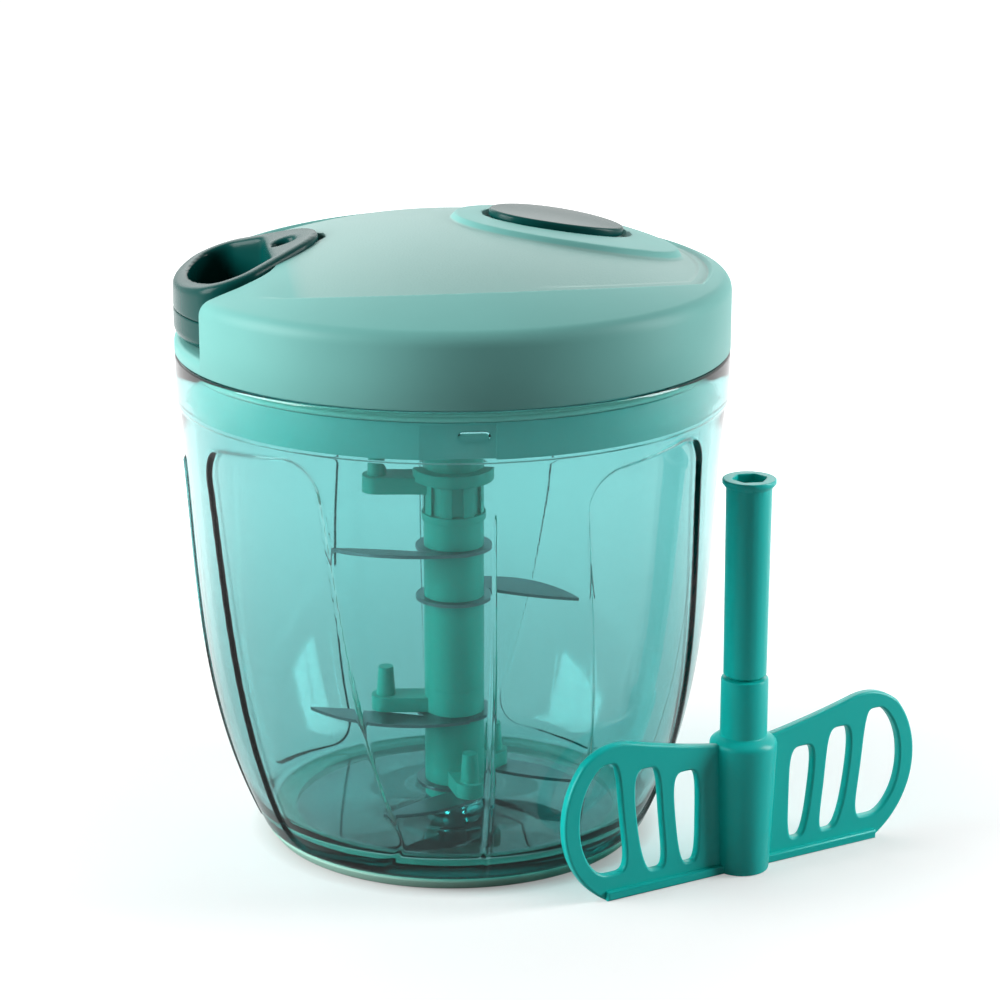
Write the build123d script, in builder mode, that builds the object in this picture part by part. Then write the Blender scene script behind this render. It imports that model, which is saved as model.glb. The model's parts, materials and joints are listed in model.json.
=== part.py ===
from build123d import *
import math
import os

# Pull-cord food chopper: a clear bowl, a domed lid with a spring-return cord spool, a five-wing
# blade stack and a whisk that stands beside it. Millimetres, +Z up. The origin is on the bowl's axis
# on the surface that it stands on, and the pull handle points along -X.

# Bowl
rim_radius = 65.0
rim_height = 119.0
band_height = 11.4
band_step = 0.5
bowl_wall = 2.6
floor_thickness = 2.6
base_inset = 18.4
heel_inset = 11.1
heel_height = 22.0
belly_inset = 4.3
belly_height = 60.0
floor_fillet = 7.0
boss_radius = 7.0
boss_height = 1.4

# Panels and needle ridges moulded on the outside of the bowl
panel_count = 4
panel_width = 38.0
panel_bottom = 5.0
panel_top_gap = 2.6
panel_corner = 9.0
panel_depth = 0.8
panel_lean = 6.4
panel_angle = -48.5
ridge_angle = -90.0
ridge_width = 2.4
ridge_height = 0.6
ridge_top_gap = 12.6

# Foot ring
foot_height = 3.0
foot_inset = 0.5
foot_taper = 1.6
foot_width = 7.0
foot_tongue_width = 2.0
foot_tongue_height = 1.2

# Lid cover
seam_gap = 0.2
lid_wall_height = 16.3
dome_rise = 14.5
lid_shell = 2.6
lid_edge_fillet = 4.0
leaf_radius = 78.0
leaf_offset = 28.5
leaf_margin = 4.5
leaf_depth = 1.2
bezel_length = 52.0
bezel_width = 40.0
bezel_centre = 27.0
cap_length = 32.0
cap_width = 23.4
cap_centre = 24.5
cap_proud = 1.3
cap_seat = 1.6
cap_fillet = 0.7
lid_post_radius = 4.0
lid_post_inset = 15.8
lid_post_count = 4

# Handle and the well that it rests in
handle_length = 33.8
handle_tip_radius = 14.0
handle_corner_width = 52.0
handle_corner_inset = 11.3
handle_corner = 9.0
handle_ring = 3.8
handle_split_height = 6.8
handle_end_proud = 1.0
handle_tip_proud = 0.7
handle_edge = 1.0
handle_under_fillet = 3.0
handle_web = 1.2
loop_corner = 2.5
well_gap = 1.6
well_wall = 1.8
well_ledge = 3.6
well_floor = 1.9
ledge_fillet = 1.6
handle_lift = 0.4

# Lid base
plate_thickness = 2.4
skirt_depth = 11.0
skirt_wall = 2.2
skirt_gap = 0.6
skirt_top_gap = 0.3
seal_height = 2.6
seal_groove = 1.2
seal_gap = 0.3
lug_width = 7.6
lug_height = 3.0
lug_depth = 0.9
lug_drop = 6.0
lug_angle = -94.0
notch_width = 16.4
notch_depth = 1.1
notch_clear = 1.0
seal_rise = 0.5

# Spool, cord, return spring and their cover
cord_radius = 1.0
cord_gap = 0.3
cord_pitch = 2.5
cord_turns = 5
cord_bend = 2.0
drum_wall = 2.0
flange_depth = 4.0
flange_clear = 2.8
flange_thickness = 1.6
journal_radius = 8.0
journal_drop = 2.0
running_gap = 0.06
bush_wall = 1.5
bush_flange = 2.0
bush_flange_thickness = 1.0
spring_thickness = 0.5
spring_height = 9.0
spring_pitch = 1.8
spring_side_gap = 0.6
arbor_radius = 2.5
arbor_spigot_radius = 2.0
cover_thickness = 2.0
cover_overhang = 2.0
cover_gap = 1.0
cover_ear_radius = 4.5
cover_post_radius = 3.0
cover_post_gap = 0.5
cover_post_count = 3
guide_bore = 1.5
guide_wall = 0.9
guide_flange = 1.2
guide_flange_thickness = 1.0
knot_radius = 2.4
knot_gap = 0.3
knot_reach = 8.0
cord_hole_gap = 0.4

# Screws
screw_radius = 1.5
screw_head_radius = 2.8
screw_head_height = 1.8
screw_length = 10.0
handle_screw_radius = 1.0
handle_screw_head_radius = 1.9
handle_screw_head_height = 1.2
handle_screw_length = 7.5
handle_screw_offset = 7.8
fit_gap = 0.05

# Blade stack
hub_radius = 7.2
core_radius = 4.5
core_inset = 1.0
pin_radius = 2.5
pin_top = 30.0
pin_clear = 1.0
stack_gap = 0.4
blade_thickness = 0.8
foot_cap_height = 3.0
lower_hub_height = 16.8
middle_hub_height = 6.2
stack_top_gap = 7.0
upper_hub_height = 11.8
drive_hub_height = 30.6
eye_margin = 2.0
blade_set_angle = 171.0
blade_length = 30.0
middle_blade_length = 35.0
blade_width = 9.0
blade_root = 9.5
blade_offset = 8.0
blade_pitch = 8.0
blade_sweep = 50.0
arm_width = 7.0
arm_height = 3.6
lower_arm_angles = (-82.0, 35.0)
lower_arm_reach = 13.0
middle_arm_reach = 16.6
drive_arm_reach = 18.3
drive_arm_drop = 17.5
peg_radius = 2.3
peg_height = 7.0
peg_taper = 4.0
collar_radius = 9.7
collar_height = 2.6
collar_drop = 12.0
ring_radius = 7.7
ring_height = 1.6
ring_drop = 22.4
flute_count = 8
flute_width = 2.6
flute_depth = 0.9
spindle_flats = 6.6
spindle_gap = 0.2
spindle_engagement = 14.0
spindle_end_gap = 1.0
spindle_lead = 0.8
socket_floor = 2.0

# Whisk
whisk_gap = 9.33
whisk_bearing = -33.48
whisk_angle = 21.0
whisk_height = 95.0
whisk_body_height = 33.0
whisk_body_bottom_radius = 6.6
whisk_body_top_radius = 7.9
whisk_shoulder = 1.6
whisk_collar_height = 14.3
whisk_collar_radius = 5.5
whisk_stem_gap = 0.7
whisk_stem_radius = 5.0
whisk_stem_top_radius = 5.3
whisk_rim_radius = 6.2
whisk_rim_height = 2.2
whisk_spigot_radius = 3.4
whisk_spigot_depth = 8.0
whisk_socket_depth = 18.0
whisk_bore_gap = 0.3
wing_thickness = 2.4
wing_foot_reach = 38.0
wing_reach = 48.5
wing_reach_height = 25.0
wing_top_reach = 38.0
wing_top_height = 39.0
wing_dip_height = 34.2
wing_root_height = 31.0
wing_corner = 7.0
wing_border = 4.2
wing_bar = 3.6
wing_slots = 3
wing_slot_start = 13.2
wing_slot_width = 6.6
wing_slot_corner = 1.2
wing_foot_width = 4.6
wing_foot_height = 2.2
whisk_bore_depth = 26.0

# Levels and radii that follow from the driving dimensions
bowl_bottom = foot_height
floor_top = bowl_bottom + floor_thickness
band_bottom = rim_height - band_height
panel_top = band_bottom - panel_top_gap
base_radius = rim_radius - base_inset
heel_radius = rim_radius - heel_inset
belly_radius = rim_radius - belly_inset
ridge_top = band_bottom - ridge_top_gap
bowl_inner_radius = rim_radius - bowl_wall
foot_outer_radius = base_radius - foot_inset
tongue_radius = foot_outer_radius - foot_width / 2
pin_bottom = bowl_bottom + floor_thickness / 3
lug_level = rim_height - lug_drop

lid_bottom = rim_height + seam_gap
lid_wall_top = lid_bottom + lid_wall_height
lid_top = lid_wall_top + dome_rise
dome_radius = (rim_radius**2 + dome_rise**2) / (2 * dome_rise)
dome_centre = lid_top - dome_radius
ledge_top = lid_bottom + well_ledge
handle_bottom = ledge_top + handle_lift
handle_split = handle_bottom + handle_split_height
handle_tip_reach = rim_radius - handle_length
handle_tip_centre = handle_tip_reach + handle_tip_radius
handle_corner_reach = rim_radius - handle_corner_inset
handle_end_top = lid_wall_top + handle_end_proud

skirt_radius = bowl_inner_radius - skirt_gap
skirt_bottom = rim_height - skirt_depth
lid_post_circle = skirt_radius - lid_post_inset
skirt_top = ledge_top - well_floor - skirt_top_gap
plate_top = skirt_bottom + plate_thickness
notch_top = lug_level + lug_height / 2 + notch_clear
notch_shift = (lug_width - notch_width) / 2 + notch_clear
seal_bottom = notch_top + seal_rise

guide_front = well_gap - handle_tip_reach
guide_back = guide_front + well_wall + guide_flange_thickness
flange_radius = -guide_back - flange_clear
drum_radius = flange_radius - flange_depth
cover_radius = flange_radius + cover_overhang
cover_post_circle = cover_radius + cover_post_radius + cover_post_gap
bush_radius = journal_radius + running_gap + bush_wall
journal_bottom = skirt_bottom - journal_drop
spool_bottom = plate_top + bush_flange_thickness + cord_gap
spool_floor = spool_bottom + flange_thickness
chamber_radius = drum_radius - drum_wall
winding_radius = drum_radius + cord_gap + cord_radius
winding_bottom = spool_floor + cord_gap + cord_radius
winding_slope = cord_pitch / (2 * math.pi * winding_radius)
cord_corner = -guide_back - cord_bend
cord_run = math.sqrt(cord_corner**2 - winding_radius**2)
winding_end = 180 - math.degrees(math.acos(winding_radius / cord_corner))
cord_level = winding_bottom + cord_turns * cord_pitch + cord_run * winding_slope
drum_top = cord_level + cord_radius + cord_gap
cover_bottom = drum_top + flange_thickness + cover_gap
arbor_bottom = spool_floor + screw_head_height + spring_side_gap
spring_inner_radius = arbor_radius + fit_gap + spring_thickness / 2
spring_outer_radius = chamber_radius - spring_side_gap - spring_thickness / 2
spring_turns = int((spring_outer_radius - spring_inner_radius) / spring_pitch)
spring_bottom = (spool_floor + cover_bottom - spring_height) / 2
knot_centre = handle_tip_reach + knot_reach
loop_end = knot_centre + knot_radius + knot_gap + handle_web

blade_bottom = floor_top + boss_height + stack_gap
lower_blade_level = blade_bottom + foot_cap_height
lower_hub_level = lower_blade_level + blade_thickness
middle_blade_level = lower_hub_level + lower_hub_height
middle_hub_level = middle_blade_level + blade_thickness
spacer_level = middle_hub_level + middle_hub_height
drive_top = skirt_bottom - stack_top_gap
drive_hub_level = drive_top - drive_hub_height
left_blade_level = drive_hub_level - blade_thickness
upper_hub_level = left_blade_level - upper_hub_height
right_blade_level = upper_hub_level - blade_thickness
spacer_height = right_blade_level - spacer_level
spindle_bottom = drive_top - spindle_engagement
socket_bottom = spindle_bottom - spindle_end_gap
core_bottom = blade_bottom + core_inset
core_top = socket_bottom - socket_floor
collar_bottom = drive_top - collar_drop - collar_height
ring_top = drive_top - ring_drop
socket_flats = spindle_flats + 2 * spindle_gap

whisk_distance = rim_radius + whisk_gap
paddle_top = whisk_body_height + whisk_collar_height
stem_bottom = paddle_top + whisk_stem_gap
spigot_bottom = stem_bottom - whisk_spigot_depth

os.makedirs("parts", exist_ok=True)


def save(piece, name):
    piece.label = name
    export_step(piece, f"parts/{name}.step")


def dome_height(radius, inset=0.0):
    return dome_centre + math.sqrt((dome_radius - inset) ** 2 - radius**2)


def bowl_curve(inset):
    """Outside of the bowl's tapering wall, moved towards the axis by inset."""
    return Spline(
        (base_radius - inset, bowl_bottom),
        (heel_radius - inset, heel_height),
        (belly_radius - inset, belly_height),
        (rim_radius - band_step - inset, band_bottom),
    )


def wall_plane(angle):
    """Upright plane through the axis, facing out of the bowl at an angle from +X."""
    facing = Vector(1, 0, 0).rotate(Axis.Z, angle)
    return Plane(origin=(0, 0, 0), x_dir=facing.rotate(Axis.Z, 90), z_dir=facing)


def bowl_skin(inset, proud):
    """Skin that follows the bowl's outside, from inset inside it to proud outside it."""
    with BuildPart() as skin:
        with BuildSketch(Plane.XZ):
            with BuildLine():
                inner = bowl_curve(inset)
                outer = bowl_curve(-proud)
                Line(inner @ 0, outer @ 0)
                Line(inner @ 1, outer @ 1)
            make_face()
        revolve(axis=Axis.Z)
    return skin.part


def ring(bottom, height, outer, inner=0.0, centre=(0, 0)):
    """Upright ring, or a disc where no inner radius is given."""
    with BuildPart() as body:
        with BuildSketch(Plane.XY.offset(bottom)):
            with Locations(centre):
                Circle(outer)
                if inner:
                    Circle(inner, mode=Mode.SUBTRACT)
        extrude(amount=height)
    return body.part


def hexagon(bottom, height, flats, centre=(0, 0)):
    """Upright six-sided bar."""
    with BuildPart() as body:
        with BuildSketch(Plane.XY.offset(bottom)):
            with Locations(centre):
                RegularPolygon(flats / 2, 6, major_radius=False)
        extrude(amount=height)
    return body.part


# Panels sunk into the outside of the bowl, leaning a little round it
with BuildPart() as panels:
    for index in range(panel_count):
        with BuildSketch(wall_plane(panel_angle + index * 360 / panel_count)):
            with Locations((0, (panel_bottom + panel_top) / 2)):
                RectangleRounded(panel_width, panel_top - panel_bottom, panel_corner, rotation=panel_lean)
        extrude(amount=rim_radius + bowl_wall)
    add(bowl_skin(panel_depth, bowl_wall), mode=Mode.INTERSECT)

# Needle ridges between the panels
with BuildPart() as ridges:
    for index in range(panel_count):
        with BuildSketch(wall_plane(ridge_angle + index * 360 / panel_count)):
            with BuildLine():
                Polyline(
                    (-ridge_width / 2, bowl_bottom),
                    (ridge_width / 2, bowl_bottom),
                    (0, ridge_top),
                    close=True,
                )
            make_face()
        extrude(amount=rim_radius + bowl_wall)
    add(bowl_skin(bowl_wall / 2, ridge_height), mode=Mode.INTERSECT)

# Bowl: tapering wall, plain band, floor with a boss for the pin, and two lugs that guide the lid
with BuildPart() as bowl:
    with BuildSketch(Plane.XZ):
        with BuildLine():
            wall = bowl_curve(0)
            Polyline(
                wall @ 1,
                (rim_radius, band_bottom),
                (rim_radius, rim_height),
                (0, rim_height),
                (0, bowl_bottom),
                wall @ 0,
            )
        make_face()
    revolve(axis=Axis.Z)
    add(panels.part, mode=Mode.SUBTRACT)
    add(ridges.part)
    with BuildSketch(Plane.XZ):
        with BuildLine():
            inside = bowl_curve(bowl_wall)
            Polyline(
                inside @ 1,
                (bowl_inner_radius, band_bottom + bowl_wall),
                (bowl_inner_radius, rim_height),
                (0, rim_height),
                (0, bowl_bottom),
                inside @ 0,
            )
        make_face()
        with Locations((0, bowl_bottom)):
            Rectangle(2 * rim_radius, 2 * floor_thickness, mode=Mode.SUBTRACT)
    revolve(axis=Axis.Z, mode=Mode.SUBTRACT)
    circles = bowl.edges().filter_by(GeomType.CIRCLE)
    fillet(circles.filter_by_position(Axis.Z, floor_top - fit_gap, floor_top + fit_gap), floor_fillet)
    add(ring(floor_top, boss_height, boss_radius, pin_radius + fit_gap))
    add(ring(pin_bottom, floor_top - pin_bottom, pin_radius + fit_gap), mode=Mode.SUBTRACT)
    with BuildSketch(Plane.XY.offset(bowl_bottom)):
        Circle(tongue_radius + foot_tongue_width / 2 + fit_gap)
        Circle(tongue_radius - foot_tongue_width / 2 - fit_gap, mode=Mode.SUBTRACT)
    extrude(amount=foot_tongue_height + fit_gap, mode=Mode.SUBTRACT)
    for side in (0, 180):
        with BuildSketch(wall_plane(lug_angle + side).offset(bowl_inner_radius - lug_depth)):
            with Locations((0, lug_level)):
                SlotOverall(lug_width, lug_height)
        extrude(amount=lug_depth + bowl_wall / 2)
save(bowl.part, "bowl")

# Non-slip ring under the bowl, with a tongue that presses into the floor
with BuildPart() as foot_ring:
    with BuildSketch(Plane.XZ):
        with BuildLine():
            Polyline(
                (foot_outer_radius - foot_width, 0),
                (foot_outer_radius - foot_taper, 0),
                (foot_outer_radius, foot_height),
                (foot_outer_radius - foot_width, foot_height),
                close=True,
            )
        make_face()
        with Locations((tongue_radius, foot_height + foot_tongue_height / 2)):
            Rectangle(foot_tongue_width, foot_tongue_height)
    revolve(axis=Axis.Z)
save(foot_ring.part, "foot_ring")

# Steel pin on which the blade stack turns
with BuildPart() as pivot_pin:
    with BuildSketch(Plane.XY.offset(pin_bottom)):
        Circle(pin_radius)
    extrude(amount=pin_top - pin_bottom)
    fillet(pivot_pin.faces().sort_by(Axis.Z)[-1].edges(), pin_radius / 2)
save(pivot_pin.part, "pivot_pin")


# Plan of the pull handle: a rounded teardrop with its bowed wide end at the lid's edge
with BuildSketch() as handle_outline:
    with BuildLine():
        ThreePointArc(
            (-handle_corner_reach, handle_corner_width / 2),
            (-rim_radius, 0),
            (-handle_corner_reach, -handle_corner_width / 2),
        )
    with Locations((-handle_tip_centre, 0)):
        Circle(handle_tip_radius)
    make_hull()
    corners = handle_outline.vertices().sort_by(Axis.Y)
    fillet([corners[0], corners[-1]], handle_corner)
handle_width = handle_outline.sketch.bounding_box().size.Y
handle_shoulder = handle_outline.edges().sort_by(Axis.Y)[-1].arc_center.X


def well_plan(margin):
    """Plan of the handle grown by a margin, with sides that run straight out past the lid's edge."""
    with BuildSketch() as plan:
        add(handle_outline.sketch)
        offset(amount=margin)
        with Locations((handle_shoulder, 0)):
            Rectangle(rim_radius, handle_width + 2 * margin, align=(Align.MAX, Align.CENTER))
    return plan.sketch


def lid_solid(inset):
    """Solid under the lid's outer face, drawn in by inset."""
    edge = rim_radius - inset
    half = edge / 2
    with BuildPart() as body:
        with BuildSketch(Plane.XZ) as profile:
            with BuildLine():
                dome = ThreePointArc(
                    (0, lid_top - inset),
                    (half, dome_height(half, inset)),
                    (edge, dome_height(edge, inset)),
                )
                Polyline(dome @ 1, (edge, lid_bottom), (0, lid_bottom), dome @ 0)
            make_face()
            fillet(profile.vertices().group_by(Axis.X)[-1].sort_by(Axis.Y)[-1], lid_edge_fillet)
        revolve(axis=Axis.Z)
    return body.part


def lid_post_spots():
    return PolarLocations(lid_post_circle, lid_post_count, start_angle=180 / lid_post_count)


def cover_post_spots():
    return PolarLocations(cover_post_circle, cover_post_count)


lid_outside = lid_solid(0)
lid_inside = lid_solid(lid_shell)
cap_tilt = math.degrees(math.asin(cap_centre / dome_radius))
cap_plane = Plane(
    origin=(cap_centre, 0, dome_height(cap_centre)),
    x_dir=Vector(1, 0, 0).rotate(Axis.Y, cap_tilt),
    z_dir=Vector(0, 0, 1).rotate(Axis.Y, cap_tilt),
)

# Leaf-shaped hollow in the dome, around the raised oval that carries the cap
with BuildPart() as leaf_hollow:
    with BuildSketch(Plane.XY.offset(lid_bottom)):
        with Locations((0, leaf_offset)):
            Circle(leaf_radius)
        with Locations((0, -leaf_offset)):
            Circle(leaf_radius, mode=Mode.INTERSECT)
        Circle(rim_radius - leaf_margin, mode=Mode.INTERSECT)
        with Locations((bezel_centre, 0)):
            Ellipse(bezel_length / 2, bezel_width / 2, mode=Mode.SUBTRACT)
    extrude(amount=2 * (lid_top - lid_bottom))
    with Locations((0, 0, dome_centre)):
        Sphere(dome_radius - leaf_depth, mode=Mode.SUBTRACT)

# Inside of the lid cover: the handle's well and the posts that take the lid screws
with BuildPart() as lid_inner:
    with BuildSketch(Plane.XY.offset(ledge_top - well_floor)):
        add(well_plan(well_gap + well_wall))
        Circle(rim_radius, mode=Mode.INTERSECT)
    extrude(amount=lid_top - ledge_top + well_floor)
    with BuildSketch(Plane.XY.offset(lid_bottom)):
        with lid_post_spots():
            Circle(lid_post_radius)
    extrude(amount=lid_top - lid_bottom)
    add(lid_outside, mode=Mode.INTERSECT)

# Lid cover: domed shell
with BuildPart() as lid_cover:
    add(lid_outside)
    add(lid_inside, mode=Mode.SUBTRACT)
    add(lid_inner.part)
    with BuildSketch(Plane.XY.offset(plate_top)):
        with lid_post_spots():
            Circle(lid_post_radius)
    extrude(amount=lid_bottom - plate_top)
    with BuildSketch(Plane.XY.offset(ledge_top)):
        add(well_plan(well_gap))
    extrude(amount=lid_top, mode=Mode.SUBTRACT)
    add(leaf_hollow.part, mode=Mode.SUBTRACT)
    ledges = lid_cover.edges().filter_by_position(Axis.Z, ledge_top - fit_gap, ledge_top + fit_gap)
    fillet(ledges.sort_by(Axis.X)[0], ledge_fillet)
    with BuildSketch(cap_plane.offset(-cap_seat)):
        Ellipse(cap_length / 2 + fit_gap, cap_width / 2 + fit_gap)
    extrude(amount=lid_shell, mode=Mode.SUBTRACT)
    with BuildSketch(Plane.YZ.offset(guide_back)):
        with Locations((0, cord_level)):
            Circle(guide_bore + guide_wall + fit_gap)
    extrude(amount=-2 * well_wall, mode=Mode.SUBTRACT)
    with BuildSketch(Plane.XY.offset(plate_top)):
        with lid_post_spots():
            Circle(screw_radius + fit_gap)
    extrude(amount=screw_length - plate_thickness + fit_gap, mode=Mode.SUBTRACT)
save(lid_cover.part, "lid_cover")

# Oval cap set into the raised oval, left bare
with BuildPart() as top_cap:
    with BuildSketch(cap_plane.offset(-cap_seat)):
        Ellipse(cap_length / 2, cap_width / 2)
    extrude(amount=cap_seat + 2 * cap_proud)
    with Locations((0, 0, dome_centre)):
        Sphere(dome_radius + cap_proud, mode=Mode.INTERSECT)
    fillet(top_cap.faces().sort_by(Axis.Z)[-1].edges(), cap_fillet)
save(top_cap.part, "top_cap")

# Lid base: plate and skirt that plug into the bowl, with posts for the spring cover
with BuildPart() as lid_base:
    add(ring(skirt_bottom, plate_thickness, skirt_radius, bush_radius + fit_gap))
    add(ring(plate_top, skirt_top - plate_top, skirt_radius, skirt_radius - skirt_wall))
    with BuildSketch(Plane.XY.offset(seal_bottom)):
        Circle(rim_radius)
        Circle(skirt_radius - seal_groove, mode=Mode.SUBTRACT)
    extrude(amount=seal_height, mode=Mode.SUBTRACT)
    for side in (0, 180):
        with BuildSketch(wall_plane(lug_angle + side).offset(skirt_radius - notch_depth)):
            with Locations((notch_shift, (skirt_bottom + notch_top) / 2)):
                Rectangle(notch_width, notch_top - skirt_bottom)
        extrude(amount=rim_radius, mode=Mode.SUBTRACT)
    with BuildSketch(Plane.XY.offset(plate_top)):
        with cover_post_spots():
            Circle(cover_post_radius)
    extrude(amount=cover_bottom - plate_top)
    with BuildSketch(Plane.XY.offset(skirt_bottom)):
        with lid_post_spots():
            Circle(screw_radius + fit_gap)
    extrude(amount=plate_thickness, mode=Mode.SUBTRACT)
    with BuildSketch(Plane.XY.offset(cover_bottom)):
        with cover_post_spots():
            Circle(screw_radius + fit_gap)
    extrude(amount=cover_thickness - screw_length - fit_gap, mode=Mode.SUBTRACT)
save(lid_base.part, "lid_base")

# Soft seal in the skirt's groove
with BuildPart() as lid_seal:
    add(ring(seal_bottom, seal_height, bowl_inner_radius - seal_gap, skirt_radius - seal_groove + fit_gap))
save(lid_seal.part, "lid_seal")

# Flanged bush in which the spool turns
with BuildPart() as spool_bush:
    add(ring(skirt_bottom, plate_thickness, bush_radius, journal_radius + running_gap))
    add(ring(plate_top, bush_flange_thickness, bush_radius + bush_flange, journal_radius + running_gap))
save(spool_bush.part, "spool_bush")

# Spool: journal, two flanges and a hollow drum that holds the return spring
with BuildPart() as cord_spool:
    add(ring(journal_bottom, spool_bottom - journal_bottom, journal_radius))
    add(ring(spool_bottom, flange_thickness, flange_radius, screw_radius + fit_gap))
    add(ring(spool_floor, drum_top - spool_floor, drum_radius, chamber_radius))
    add(ring(drum_top, flange_thickness, flange_radius, chamber_radius))
    spindle_seat = hexagon(journal_bottom, spool_bottom - journal_bottom, spindle_flats + 2 * fit_gap)
    add(spindle_seat, mode=Mode.SUBTRACT)
save(cord_spool.part, "cord_spool")

# Six-sided spindle that drives the blade stack or the whisk
with BuildPart() as drive_spindle:
    with BuildSketch(Plane.XY.offset(spindle_bottom)):
        RegularPolygon(spindle_flats / 2, 6, major_radius=False)
    extrude(amount=spool_bottom - spindle_bottom)
    chamfer(drive_spindle.faces().sort_by(Axis.Z)[0].edges(), spindle_lead)
    add(ring(spool_floor - screw_length - fit_gap, screw_length, screw_radius + fit_gap), mode=Mode.SUBTRACT)
save(drive_spindle.part, "drive_spindle")


def screws(spots, seat, up, radius, length, head_radius, head_height):
    """Pan-head screws at several spots. Seat is the level under the heads, and up is 1 or -1 towards them."""
    with BuildPart() as group:
        with BuildSketch(Plane.XY.offset(seat)):
            with spots():
                Circle(head_radius)
        extrude(amount=up * head_height)
        crowns = group.faces().filter_by(Axis.Z).group_by(Axis.Z)[-1 if up > 0 else 0]
        fillet(crowns.edges(), head_height / 3)
        with BuildSketch(Plane.XY.offset(seat)):
            with spots():
                Circle(radius)
        extrude(amount=-up * length)
    return group.part


def lid_screw_set(spots, seat, up):
    return screws(spots, seat, up, screw_radius, screw_length, screw_head_radius, screw_head_height)


def on_axis():
    return Locations((0, 0))


save(lid_screw_set(on_axis, spool_floor, 1), "spindle_screw")
save(lid_screw_set(lid_post_spots, skirt_bottom, -1), "lid_screws")
save(lid_screw_set(cover_post_spots, cover_bottom + cover_thickness, 1), "cover_screws")

# Cover over the spool, carried on three posts
with BuildPart() as spring_cover:
    with BuildSketch(Plane.XY.offset(cover_bottom)):
        Circle(cover_radius)
        with cover_post_spots():
            Circle(cover_ear_radius)
            Circle(screw_radius + fit_gap, mode=Mode.SUBTRACT)
        Circle(arbor_spigot_radius + fit_gap, mode=Mode.SUBTRACT)
    extrude(amount=cover_thickness)
save(spring_cover.part, "spring_cover")

# Fixed arbor that holds the inner end of the return spring
with BuildPart() as spring_arbor:
    add(ring(arbor_bottom, cover_bottom - arbor_bottom, arbor_radius))
    add(ring(cover_bottom, cover_thickness, arbor_spigot_radius))
save(spring_arbor.part, "spring_arbor")


def spiral(shift):
    """Half circles that wind outwards from the arbor to the drum, moved out by shift."""
    step = (spring_outer_radius - spring_inner_radius) / (2 * spring_turns)
    side = 1
    radius = spring_inner_radius + shift
    for half_turn in range(2 * spring_turns):
        middle = radius + step / 2
        ThreePointArc((side * radius, 0), (-side * step / 2, side * middle), (-side * (radius + step), 0))
        radius += step
        side = -side


# Return spring: a flat spiral ribbon between the arbor and the drum
with BuildPart() as return_spring:
    with BuildSketch(Plane.XY.offset(spring_bottom)):
        with BuildLine() as ribbon:
            spiral(-spring_thickness / 2)
            spiral(spring_thickness / 2)
            ends = ribbon.vertices().filter_by_position(Axis.Y, -fit_gap, fit_gap).sort_by(Axis.X)
            inner_ends = ends.sort_by_distance((arbor_radius, 0, 0))
            Line(inner_ends[0], inner_ends[1])
            Line(ends[-2], ends[-1])
        make_face()
    extrude(amount=spring_height)
save(return_spring.part, "return_spring")

# Guide that leads the cord through the end of the well
with BuildPart() as cord_guide:
    with BuildSketch(Plane.YZ.offset(guide_front)):
        with Locations((0, cord_level)):
            Circle(guide_bore + guide_wall)
    extrude(amount=well_wall)
    with BuildSketch(Plane.YZ.offset(guide_back)):
        with Locations((0, cord_level)):
            Circle(guide_bore + guide_wall + guide_flange)
    extrude(amount=-guide_flange_thickness)
    with BuildSketch(Plane.YZ.offset(guide_front)):
        with Locations((0, cord_level)):
            Circle(guide_bore)
    extrude(amount=guide_back - guide_front, mode=Mode.SUBTRACT)
save(cord_guide.part, "cord_guide")


def winding_point(angle):
    turns = (angle - winding_end) / 360 + cord_turns
    level = winding_bottom + turns * cord_pitch
    return Vector(winding_radius, 0, level).rotate(Axis.Z, angle)


def winding_tangent(angle):
    return Vector(0, 1, winding_slope).normalized().rotate(Axis.Z, angle)


def biarc(start_angle, end_angle):
    """Two arcs that follow the winding between two angles and share its directions at both ends."""
    start = winding_point(start_angle)
    end = winding_point(end_angle)
    leaving = winding_tangent(start_angle)
    arriving = winding_tangent(end_angle)
    chord = end - start
    bend = 2 * (1 - leaving.dot(arriving))
    along = chord.dot(leaving + arriving)
    reach = (math.sqrt(along**2 + bend * chord.dot(chord)) - along) / bend
    first_corner = start + leaving * reach
    last_corner = end - arriving * reach
    middle = (first_corner + last_corner) * 0.5
    TangentArc(start, middle, tangent=leaving)
    TangentArc(middle, end, tangent=last_corner - first_corner)


def least_gap(path, radius, skip):
    """Least gap between stretches of a tube that are more than skip apart along it."""
    count = 1200
    points = [tuple(path @ (index / count)) for index in range(count + 1)]
    apart = math.ceil(skip / path.length * count)
    nearest = min(
        math.dist(points[index], later)
        for index in range(count + 1)
        for later in points[index + apart :]
    )
    return nearest - 2 * radius


# Cord: wound on the spool, then off it, round into the guide and along it into the handle
winding_start = winding_end - 360 * cord_turns
with BuildPart() as pull_cord:
    with BuildLine() as route:
        lead = winding_tangent(winding_start) * (2 * cord_radius)
        Line(winding_point(winding_start) - lead, winding_point(winding_start))
        for quarter in range(4 * cord_turns):
            biarc(winding_start + 90 * quarter, winding_start + 90 * (quarter + 1))
        corner = Vector(-cord_corner, 0, cord_level)
        leaving = (corner - winding_point(winding_end)).normalized()
        Line(winding_point(winding_end), corner - leaving * cord_bend)
        TangentArc(corner - leaving * cord_bend, corner - Vector(cord_bend, 0, 0), tangent=leaving)
        cord_end = knot_centre - knot_radius - knot_gap
        Line((guide_back, 0, cord_level), (-cord_end, 0, cord_level))
    with BuildSketch(Plane(origin=route.line @ 0, z_dir=route.line % 0)):
        Circle(cord_radius)
    sweep()
save(pull_cord.part, "pull_cord")
cord_path = route.wire()
print(f"pull_cord length {cord_path.length:.0f} mm")
print(f"pull_cord least gap to itself {least_gap(cord_path, cord_radius, winding_radius):.2f} mm")


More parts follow.
